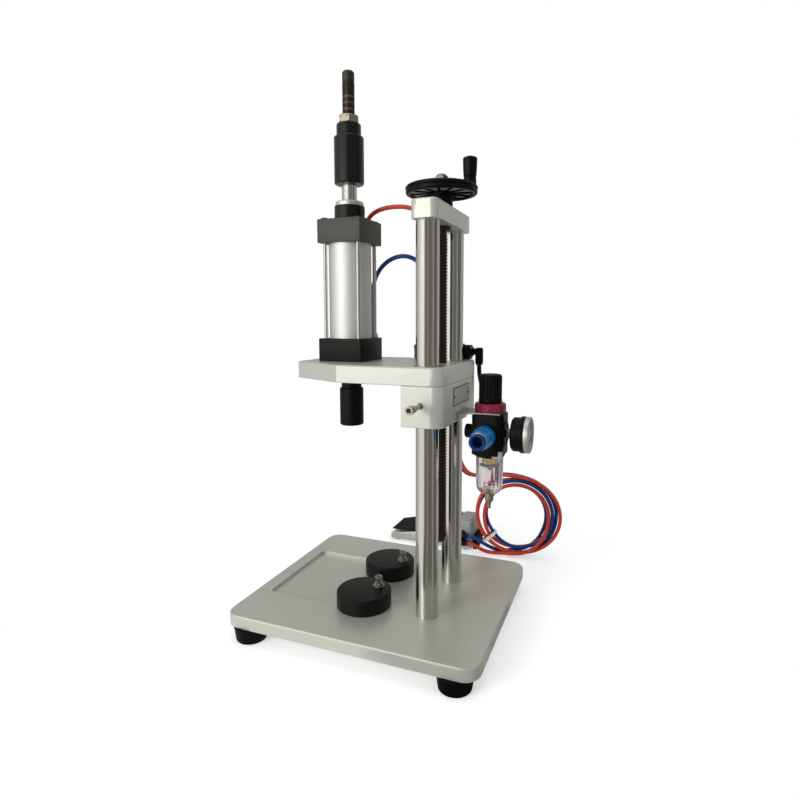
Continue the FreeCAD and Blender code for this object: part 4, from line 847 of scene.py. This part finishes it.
def add_mouth(bodies, rings, at, axis, depth):
    """The mouth of a push-in fitting, with its release ring in a bmesh of its own."""
    end = depth - 1.6
    add_turned(bodies, rounded([
        (0, 0), (5.5, 0), (5.5, end - 1), (5.1, end - 0.6), (4.9, end - 0.3), (4.9, end), (0, end)], 0.3),
        at, axis, steps=40)
    add_turned(rings, rounded([
        (3.1, depth - 1.7), (4.5, depth - 1.7), (4.5, depth - 1.2), (5.2, depth - 1.0), (5.2, depth),
        (3.6, depth), (3.1, depth - 0.4), (3.1, depth - 1.7)], 0.15), at, axis, steps=40)


REG_Y = 140
REG_HIGH = 249
REG_LOW = 199
RING_LOW = 251.5
KNOB_LOW = 262.8
INLET_Z = 225
PORT_AT = (0, REG_Y, INLET_Z)
GAUGE_AT = (0, 0, INLET_Z)


def build_fittings():
    bodies = bmesh.new()
    rings = bmesh.new()
    port_x, valve_x, elbow_y = -40.25, -76, 105.25
    for y, z, mouth in PORTS:
        add_nut(bodies, 5.4, 3.4, (-32.4, y, z), "-x")
        add_turned(bodies, rounded(rod(4.4, 0, 6.6), 0.4), (-32.2, y, z), "-x", steps=32)
        low, high = z - 5.5, mouth - 4
        add_turned(bodies, rounded([(0, low), (4.5, low), (5.5, low + 1.2), (5.5, high), (0, high)], 0.6),
                   (port_x, y, 0), steps=40)
        add_mouth(bodies, rings, (port_x, y, mouth - 7), "z", 7)
    finish_mesh("cylinder_elbows", bodies, PLASTIC, "carriage", "black_plastic", "cylinder_fittings")
    bodies = bmesh.new()
    for y in (50, 34):
        for at, axis in (((valve_x, y, ARM_TOP + 21), "z"), ((-86, y, ARM_TOP + 10.5), "-x")):
            add_nut(bodies, 6.2, 3.0, at, axis)
            add_mouth(bodies, rings, at, axis, 11)
    finish_mesh("valve_mouths", bodies, PLASTIC, "carriage", "black_plastic", "valve_fittings")
    bodies = bmesh.new()
    z = ARM_TOP + 10.5
    add_nut(bodies, 6.4, 3.4, (valve_x, 94, z), "y")
    neck = rounded([(0, 94), (4.4, 94), (4.4, 101), (5.2, 101.4), (5.2, 105.3), (0, 105.3)], 0.4)
    add_turned(bodies, neck, (valve_x, 0, z), "y", steps=36)
    add_turned(bodies, rounded([(0, 5.5), (4.2, 5.5), (5.5, 4.2), (5.5, -12), (0, -12)], 0.8),
               (valve_x, elbow_y, z), steps=40)
    add_mouth(bodies, rings, (valve_x, elbow_y, z - 7), "-z", 11)
    add_nut(bodies, 8.0, 4.0, (-20, REG_Y, INLET_Z), "-x")
    add_turned(bodies, rounded(rod(6.6, 20, 31), 0.5), PORT_AT, "-x", steps=40)
    add_mouth(bodies, rings, (-24, REG_Y, INLET_Z), "-x", 10)
    finish_mesh("air_line_fittings", bodies, PLASTIC, "carriage", "black_plastic", "air_fittings")
    finish_mesh("release_rings", rings, DARK_BLUE, "carriage", "dark_blue_plastic")


def build_valve():
    bm = bmesh.new()
    add_box(bm, (-86, 24, ARM_TOP), (-66, 82, ARM_TOP + 21), bevel=0.7)
    for low, high in ((12, 24.2), (81.8, 94)):
        add_box(bm, (-84.5, low, ARM_TOP), (-67.5, high, ARM_TOP + 19.5), bevel=1.4)
    add_box(bm, (-84, 60, ARM_TOP + 20.6), (-68, 78, ARM_TOP + 22))
    finish_mesh("valve_block", bm, BLACKED, "carriage", "black_anodised", "valve_body")
    bm = bmesh.new()
    for x, y, axis in ((-81, 12, "-y"), (-71, 12, "-y"), (-71, 94, "y")):
        add_socket_screw(bm, 1.9, 1.2, (x, y, ARM_TOP + 15.5), axis)
    finish_mesh("valve_screws", bm, SCREW, "carriage", "screw_steel")


def build_regulator():
    bm = bmesh.new()
    add_prism(bm, rectangle(-20, 20, REG_Y - 20, REG_Y + 20, 9, 8), REG_LOW, REG_HIGH, bevel=1.2)
    waist = rectangle(-19.2, 19.2, REG_Y - 19.2, REG_Y + 19.2, 8.6, 8)
    add_prism(bm, waist, REG_HIGH - 0.2, REG_HIGH + 0.9, bevel=0.3)
    add_turned(bm, rod(8, REG_HIGH, KNOB_LOW), (0, REG_Y, 0), steps=40)
    for axis in ("x", "-x", "y"):
        add_turned(bm, rounded(rod(15.4, 19.2, 20.8, 12.6), 0.5), PORT_AT, axis, steps=56)
    add_turned(bm, rounded(rod(18.4, -3.2, 0.6, 16.0), 0.5), (0, REG_Y, REG_LOW), steps=64)
    add_nut(bm, 9, 11, (0, REG_Y - 20, INLET_Z), "-y")
    finish_mesh("regulator_moulding", bm, PLASTIC, "carriage", "black_plastic", "regulator_body")
    bm = bmesh.new()
    add_box(bm, (6.5, REG_Y + 7, REG_LOW - 2.4), (19.2, REG_Y + 19.4, REG_LOW + 6.6), bevel=0.8)
    finish_mesh("bowl_catch", bm, GREY, "carriage", "grey_casting")

    def notch(a, h):
        return 0.965 if cos(a * 12) > 0.86 and 2 < h < 9.5 else 1.0

    turned_piece("lock_ring_crimson", rounded([
        (8.2, 0), (18.6, 0), (19.5, 1.2), (19.5, 8.6), (17.8, 11), (8.2, 11), (8.2, 0)], 0.6),
        (0, REG_Y, RING_LOW), 144, CRIMSON, "carriage", "crimson_plastic", "lock_ring", wave=notch)

    def flute(a, h):
        return 1.0 - (0.05 * (0.5 + 0.5 * cos(a * 18)) ** 4 if 5 < h < 32 else 0.0)

    turned_piece("regulator_knob_ribbed", rounded([
        (0, 0), (13.6, 0), (14.5, 1), (14.5, 4.6), (13.9, 5.4), (14.2, 6), (14.2, 32.6), (12.6, 35),
        (10.5, 35), (10.0, 34.2), (0, 34.2)], 0.7), (0, REG_Y, KNOB_LOW), 180,
        PLASTIC, "knob", "black_plastic", "regulator_knob", wave=flute)


def build_bowl():
    low = REG_LOW - 51
    under = (0, REG_Y, REG_LOW)

    def bowl_rib(a, h):
        return 1.0 + (0.012 * cos(a * 16) if h > 4 else 0.0)

    turned_piece("filter_bowl_clear", rounded([
        (2.6, 0), (9, 0.2), (13.4, 2.6), (16.1, 7), (16.6, 12), (17, 50.8), (15.2, 50.8), (14.8, 12),
        (14.3, 8), (12, 4.4), (8, 2.2), (2.6, 2.2), (2.6, 0)], 0.8), (0, REG_Y, low), 96,
        BOWL, "carriage", "clear_bowl", "filter_bowl", wave=bowl_rib)

    def element_rib(a, h):
        return 0.93 if cos(a * 20) > 0.35 and h > -11.5 else 1.0

    element = rounded([(0, -13), (10, -13), (10.5, -12), (10.5, 12), (0, 12)], 0.5)
    turned_piece("filter_element_ribbed", element, under, 120, BRASS, "carriage", "sintered_brass",
                 "filter_element", wave=element_rib)
    bm = bmesh.new()
    cone = rounded([(0, -16.5), (11.5, -16.5), (12.4, -15.6), (9, -13.2), (0, -13.2)], 0.4)
    add_turned(bm, cone, under, steps=48)
    add_turned(bm, rounded(rod(2.6, -22, -16), 0.5), under, steps=32)
    finish_mesh("filter_baffle", bm, GREY, "carriage", "grey_casting")
    turned_piece("drain_screw_brass", rounded([
        (0, 2.4), (2.5, 2.4), (2.5, 0), (5.5, 0), (5.5, -8.6), (4.4, -11), (2.6, -11.2), (2.6, -15),
        (1.9, -16), (2.4, -17), (2.4, -19), (1.6, -20), (0, -20)], 0.4), (0, REG_Y, low - 0.3), 72,
        NUT, "drain", "sintered_brass", "drain_screw")


def dial_text(name, words, x, z, size):
    data = bpy.data.curves.new(name, "FONT")
    data.body = words
    data.size = size * MM
    data.align_x = "CENTER"
    data.align_y = "CENTER"
    data.extrude = 0.04 * MM
    made = add_object(name, data)
    facing = Matrix(((-1, 0, 0, 0), (0, 0, 1, 0), (0, 1, 0, 0), (0, 0, 0, 1)))
    made.matrix_world = Matrix.Translation(Vector((x, 183.35, z)) * MM) @ facing
    data.materials.append(PLASTIC)
    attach(made, "carriage")


def build_gauge():
    """The gauge looks along +Y; the heights in its outlines are places along Y."""
    back, split, front, dial = 168, 184.5, 187, 183.3
    turned_piece("gauge_case_black", rounded([
        (0, 160), (4.5, 160), (4.5, back), (18.5, back), (21, back + 2.4), (21, front - 0.1),
        (19, front - 0.1), (19, front - 4), (0, front - 4)], 0.6), GAUGE_AT, 96,
        PLASTIC, "carriage", "black_plastic", "gauge_case", axis="y")
    bm = bmesh.new()
    add_nut(bm, 6.2, 5.0, (0, 161.5, INLET_Z), "y")
    finish_mesh("gauge_hexagon", bm, NUT, "carriage", "sintered_brass")
    turned_piece("gauge_bezel_band", rounded([
        (19.5, front - 8), (22.2, front - 8), (22.5, front - 7.5), (22.5, split), (19.5, split),
        (19.5, front - 8)], 0.4), GAUGE_AT, 120,
        PLASTIC, "carriage", "black_plastic", "gauge_bezel", axis="y")
    turned_piece("gauge_bezel_ring", rounded([
        (19.5, split), (22.3, split), (22.3, front + 3), (21.4, front + 4), (20.4, front + 4),
        (19.5, front + 2.8), (19.5, split)], 0.5), GAUGE_AT, 120,
        TUBE, "carriage", "polished_steel", "gauge_bezel", axis="y")
    turned_piece("gauge_dial", rod(18.9, dial - 0.3, dial), GAUGE_AT, 72, DIAL, "carriage", "white_plastic",
                 axis="y")
    bm = bmesh.new()
    marks = 50
    for i in range(marks + 1):
        a = radians(225 - 270 * i / marks)
        length = 2.6 if i % 10 == 0 else (1.9 if i % 5 == 0 else 1.1)
        half_width = 0.22 if i % 10 == 0 else 0.12
        outward, sideways = Vector((-cos(a), 0, sin(a))), Vector((sin(a), 0, cos(a)))
        centre = Vector((0, dial + 0.03, INLET_Z)) + outward * (16.6 - length / 2)
        add_block(bm, centre, (outward * (length / 2), sideways * half_width, Vector((0, 0.05, 0))))
    finish_mesh("gauge_marks", bm, PLASTIC, "carriage", "black_plastic")
    for i in range(6):
        a = radians(225 - 270 * i / 5)
        dial_text("gauge_number_%d" % i, str(i * 2), -(11.6 * cos(a)), INLET_Z + 11.6 * sin(a), 3.4)
    turned_piece("gauge_window", rounded(rod(19.45, 187.6, 188.4), 0.2), GAUGE_AT, 72, WINDOW, "carriage",
                 "clear_bowl", axis="y")


def build_inlet():
    turned_piece("inlet_body_blue", rounded([
        (8.2, 20), (8.75, 20), (8.75, 24), (12.4, 25), (13.3, 27), (13.3, 40), (12.4, 42), (12.3, 51),
        (11.2, 54.8), (10.3, 56.2), (8.25, 56.2), (8.25, 42), (0, 42)], 0.9), PORT_AT, 96,
        BLUE, "carriage", "blue_plastic", "inlet_fitting", axis="x")
    # This pale aluminium ring round the collet is a painted highlight: it stands for the pale highlight
    # round the collet.
    turned_piece("inlet_highlight_ring", rounded([
        (8.3, 56.3), (10.3, 56.3), (10.3, 57.6), (9.8, 58.0), (8.3, 58.0), (8.3, 56.3)], 0.3), PORT_AT, 72,
        TUBE, "carriage", "tube_aluminium", axis="x")
    turned_piece("inlet_release_collar", rounded([
        (6, 47), (8.15, 47), (8.15, 60.2), (10, 60.2), (10, 63.2), (9.2, 64), (7.2, 64), (6, 62.6),
        (6, 47)], 0.5), PORT_AT, 72, DARK_BLUE, "collet", "dark_blue_plastic", "inlet_collet", axis="x")


def build_discs():
    pivot_x, pivot_y, offset = 41, 5, 20
    outline = rounded([(0, 0.0), (34.2, 0.0), (35, 0.8), (35, 18.4), (33.4, 20), (0, 20)], 0.8)
    for name, node, body, sign, angle in (("disc_near_black", "locator_disc_right", "disc_right", 1, -46),
                                          ("disc_far_black", "locator_disc_left", "disc_left", -1, -89)):
        turn = radians(angle)
        centre = (pivot_x * sign + offset * cos(turn), pivot_y + offset * sin(turn), 0)
        turned_piece(name, outline, centre, 128, BLACKED, body, "black_anodised", node)
    bm = bmesh.new()
    top = 20.3
    for x in (pivot_x, -pivot_x):
        at = (x, pivot_y, 0)
        add_turned(bm, rounded(rod(7.6, top - 0.2, top + 1.0), 0.2), at, steps=48)
        add_nut(bm, 6.2, 3.4, (x, pivot_y, top + 0.8))
        add_turned(bm, rod(3, -8, top + 9), at, steps=32)
        add_thread(bm, 3.1, 0.4, 1.0, top + 3, top + 9.5, at, steps=20)
        add_socket_screw(bm, 5, 5, (x, pivot_y, top + 8))
    finish_mesh("disc_bolt_set", bm, BOLT, "frame", "polished_steel", "disc_bolts")


PEDAL_X = -262


def build_pedal():
    """Profiles are (y, z) points, drawn along X: the x axis of AXES takes them as (-z, y)."""
    half = 27
    profile = [(-96, -17.5), (-96, -15.5), (7.6, 9.5), (24.4, 7.4), (24.4, -7.4), (7.6, -7.4), (-70, -17.5)]
    bm = bmesh.new()
    add_prism(bm, [(-z, y) for y, z in profile], PEDAL_X - half, PEDAL_X + half, "x", 1.0, segments=3,
              profile=0.0, sharp_angle=20)
    rib_pitch, slope = 3.6, 25 / 103.6
    for i in range(28):
        y = -93 + i * rib_pitch
        z = -15.5 + (y + 96) * slope
        add_box(bm, (PEDAL_X - half + 3, y, z - 0.6), (PEDAL_X + half - 3, y + 1.6, z + 1.2), bevel=0.3)
    finish_mesh("pedal_tread", bm, TREAD, "pedal", "black_rubber", "pedal_pad")
    side_wall = [(-95, -25.4), (-95, -21.5), (-60, -16), (6, -5), (6, -25.4)]
    bm = bmesh.new()
    for x in (PEDAL_X - 34, PEDAL_X + 31):
        add_prism(bm, [(-z, y) for y, z in side_wall], x, x + 3, "x", 0.8)
    finish_mesh("pedal_side_walls", bm, TUBE, "frame", "tube_aluminium")
    bm = bmesh.new()
    add_prism(bm, rectangle(PEDAL_X - 27, PEDAL_X + 27, 27, 54, 6, 6), -25, 15, bevel=3.5)
    add_prism(bm, rectangle(PEDAL_X - 20, PEDAL_X + 20, 30.5, 50.5, 3, 4), 14.8, 16.4, bevel=0.7)
    finish_mesh("pedal_housing", bm, GREY, "frame", "grey_casting", "pedal_valve")
    bm = bmesh.new()
    foot = rounded([(0, 0), (5.4, 0), (6, 1), (6, 4), (0, 4)], 0.4)
    for x in (PEDAL_X - 23, PEDAL_X + 23):
        for y in (-85, 42):
            add_turned(bm, foot, (x, y, FLOOR), steps=36)
    add_prism(bm, rectangle(PEDAL_X - 21.6, PEDAL_X + 21.6, 54, 62, 1.5, 3), FLOOR + 0.2, -13, bevel=1.2)
    finish_mesh("pedal_rubber_set", bm, RUBBER, "frame", "black_rubber", "pedal_rubber")
    bm = bmesh.new()
    rings = bmesh.new()
    side_x, mouth_x = -235, -224
    elbow = rounded([(0, 32), (4.4, 32), (5.5, 33.2), (5.5, 42), (0, 42)], 0.5)
    for z in (-19, -6):
        add_nut(bm, 5.6, 3.2, (side_x, 37.5, z), "x")
        add_turned(bm, rounded(rod(4.4, 0, 11), 0.4), (side_x, 37.5, z), "x", steps=32)
        add_turned(bm, elbow, (mouth_x, 0, z), "y", steps=40)
        add_mouth(bm, rings, (mouth_x, 41.5, z), "y", 7)
    finish_mesh("pedal_elbows", bm, PLASTIC, "frame", "black_plastic", "pedal_fittings")
    finish_mesh("pedal_release_rings", rings, DARK_BLUE, "frame", "dark_blue_plastic")


for build in (dress_nodes, build_feet, build_column_screws, build_lead_screw, build_handwheel,
              build_dome_nut, build_handle, build_nut_screws, build_label, build_clamp_screw, build_cylinder,
              build_ram, build_stop, build_fittings, build_valve, build_regulator, build_bowl, build_gauge,
              build_inlet, build_discs, build_pedal):
    build()


# Floor, light and background


def mixed(nodes, share, output, first, second):
    """A mix of two shader nodes; an output of share says how much of the second there is."""
    mix = add_node(nodes, "MixShader")
    wire(share, output, mix, 0)
    wire(first, 0, mix, 1)
    wire(second, 0, mix, 2)
    return mix


def white_when_seen(nodes, lit, backdrop):
    """The backdrop shader for camera, glossy and transmission rays, and the lit one for the rest."""
    rays = add_node(nodes, "LightPath")
    seen, output = rays, "Is Camera Ray"
    for ray in ("Is Glossy Ray", "Is Transmission Ray"):
        either = add_node(nodes, "Math")
        either.operation = "MAXIMUM"
        wire(seen, output, either, 0)
        wire(rays, ray, either, 1)
        seen, output = either, 0
    return mixed(nodes, seen, output, lit, backdrop)


def build_world():
    world = bpy.data.worlds.new("Studio")
    scene.world = world
    world.use_nodes = True
    nodes = world.node_tree.nodes
    dim = set_inputs(nodes["Background"], Color=(0.95, 0.97, 1.0, 1.0), Strength=0.38)
    white = add_node(nodes, "Background", Color=(1, 1, 1, 1), Strength=1.0)
    wire(white_when_seen(nodes, dim, white), 0, nodes["World Output"], "Surface")


def build_floor():
    """A pale floor that takes the shadow near the machine and fades to the white backdrop around it."""
    data = bpy.data.meshes.new("StudioFloor")
    size, z = 6.0, FLOOR * MM - 0.0002
    corners = [(-size, -size, z), (size, -size, z), (size, size, z), (-size, size, z)]
    data.from_pydata(corners, [], [(0, 1, 2, 3)])
    floor = add_object("StudioFloor", data)
    made, nodes, shader = new_material("studio_floor")
    set_inputs(shader, Base_Color=(0.8, 0.8, 0.8, 1), Roughness=0.9, Specular_IOR_Level=0.0)
    glow = add_node(nodes, "Emission", Strength=0.45)
    both = add_node(nodes, "AddShader")
    wire(shader, 0, both, 0)
    wire(glow, 0, both, 1)
    place = add_node(nodes, "TexCoord")
    distance = add_node(nodes, "VectorMath")
    distance.operation = "LENGTH"
    wire(place, "Object", distance, 0)
    fade = add_node(nodes, "MapRange", From_Min=0.22, From_Max=0.50)
    fade.interpolation_type = "SMOOTHSTEP"
    wire(distance, "Value", fade, "Value")
    white = add_node(nodes, "Emission", Strength=1.0)
    blend = mixed(nodes, fade, "Result", both, white)
    wire(white_when_seen(nodes, shader, blend), 0, nodes["Material Output"], "Surface")
    data.materials.append(made)


def area_light(name, place, target, size, power):
    data = bpy.data.lights.new(name, "AREA")
    data.shape = "RECTANGLE"
    data.size = data.size_y = size
    data.energy = power
    lamp = add_object(name, data)
    lamp.location = place
    lamp.rotation_euler = (Vector(target) - Vector(place)).to_track_quat("-Z", "Y").to_euler()


def reflector(name, start, end, level):
    """An upright arc round the machine that only polished surfaces see, between two headings in degrees."""
    near, radius, low, high, steps = 0.17, 0.44, FLOOR * MM, 2.2, 12
    places = []
    for i in range(steps + 1):
        a = radians(start + (end - start) * i / steps)
        places += [(r * cos(a), r * sin(a), z) for r, z in ((near, low), (radius, low), (radius, high))]
    faces = [(3 * i + k, 3 * i + 3 + k, 3 * i + 4 + k, 3 * i + 1 + k) for i in range(steps) for k in (0, 1)]
    data = bpy.data.meshes.new(name)
    data.from_pydata(places, [], faces)
    card = add_object(name, data)
    made, nodes, _ = new_material(name)
    glow = add_node(nodes, "Emission", Color=(level, level * 0.985, level * 0.93, 1))
    wire(glow, 0, nodes["Material Output"], "Surface")
    data.materials.append(made)
    card.visible_camera = False
    card.visible_diffuse = False
    card.visible_shadow = False
    card.visible_transmission = False


REFLECTORS = ((-140, -95, 0.42), (-95, -62, 0.55), (-62, 4, 0.88), (4, 22, 0.14), (22, 34, 0.26),
              (34, 66, 0.15), (66, 78, 0.32), (78, 112, 0.13), (112, 150, 0.40), (150, 220, 0.50))

build_world()
build_floor()
area_light("KeyLight", (1.7, -0.8, 0.75), (0, 0, 0.25), 1.0, 24)
area_light("FillLight", (0.9, 1.6, 0.9), (0, 0, 0.25), 1.6, 8)
area_light("TopLight", (-0.2, 0.0, 2.0), (0, 0, 0.2), 1.6, 9)
for i, (start, end, level) in enumerate(REFLECTORS):
    reflector("Reflector%d" % i, start, end, level)
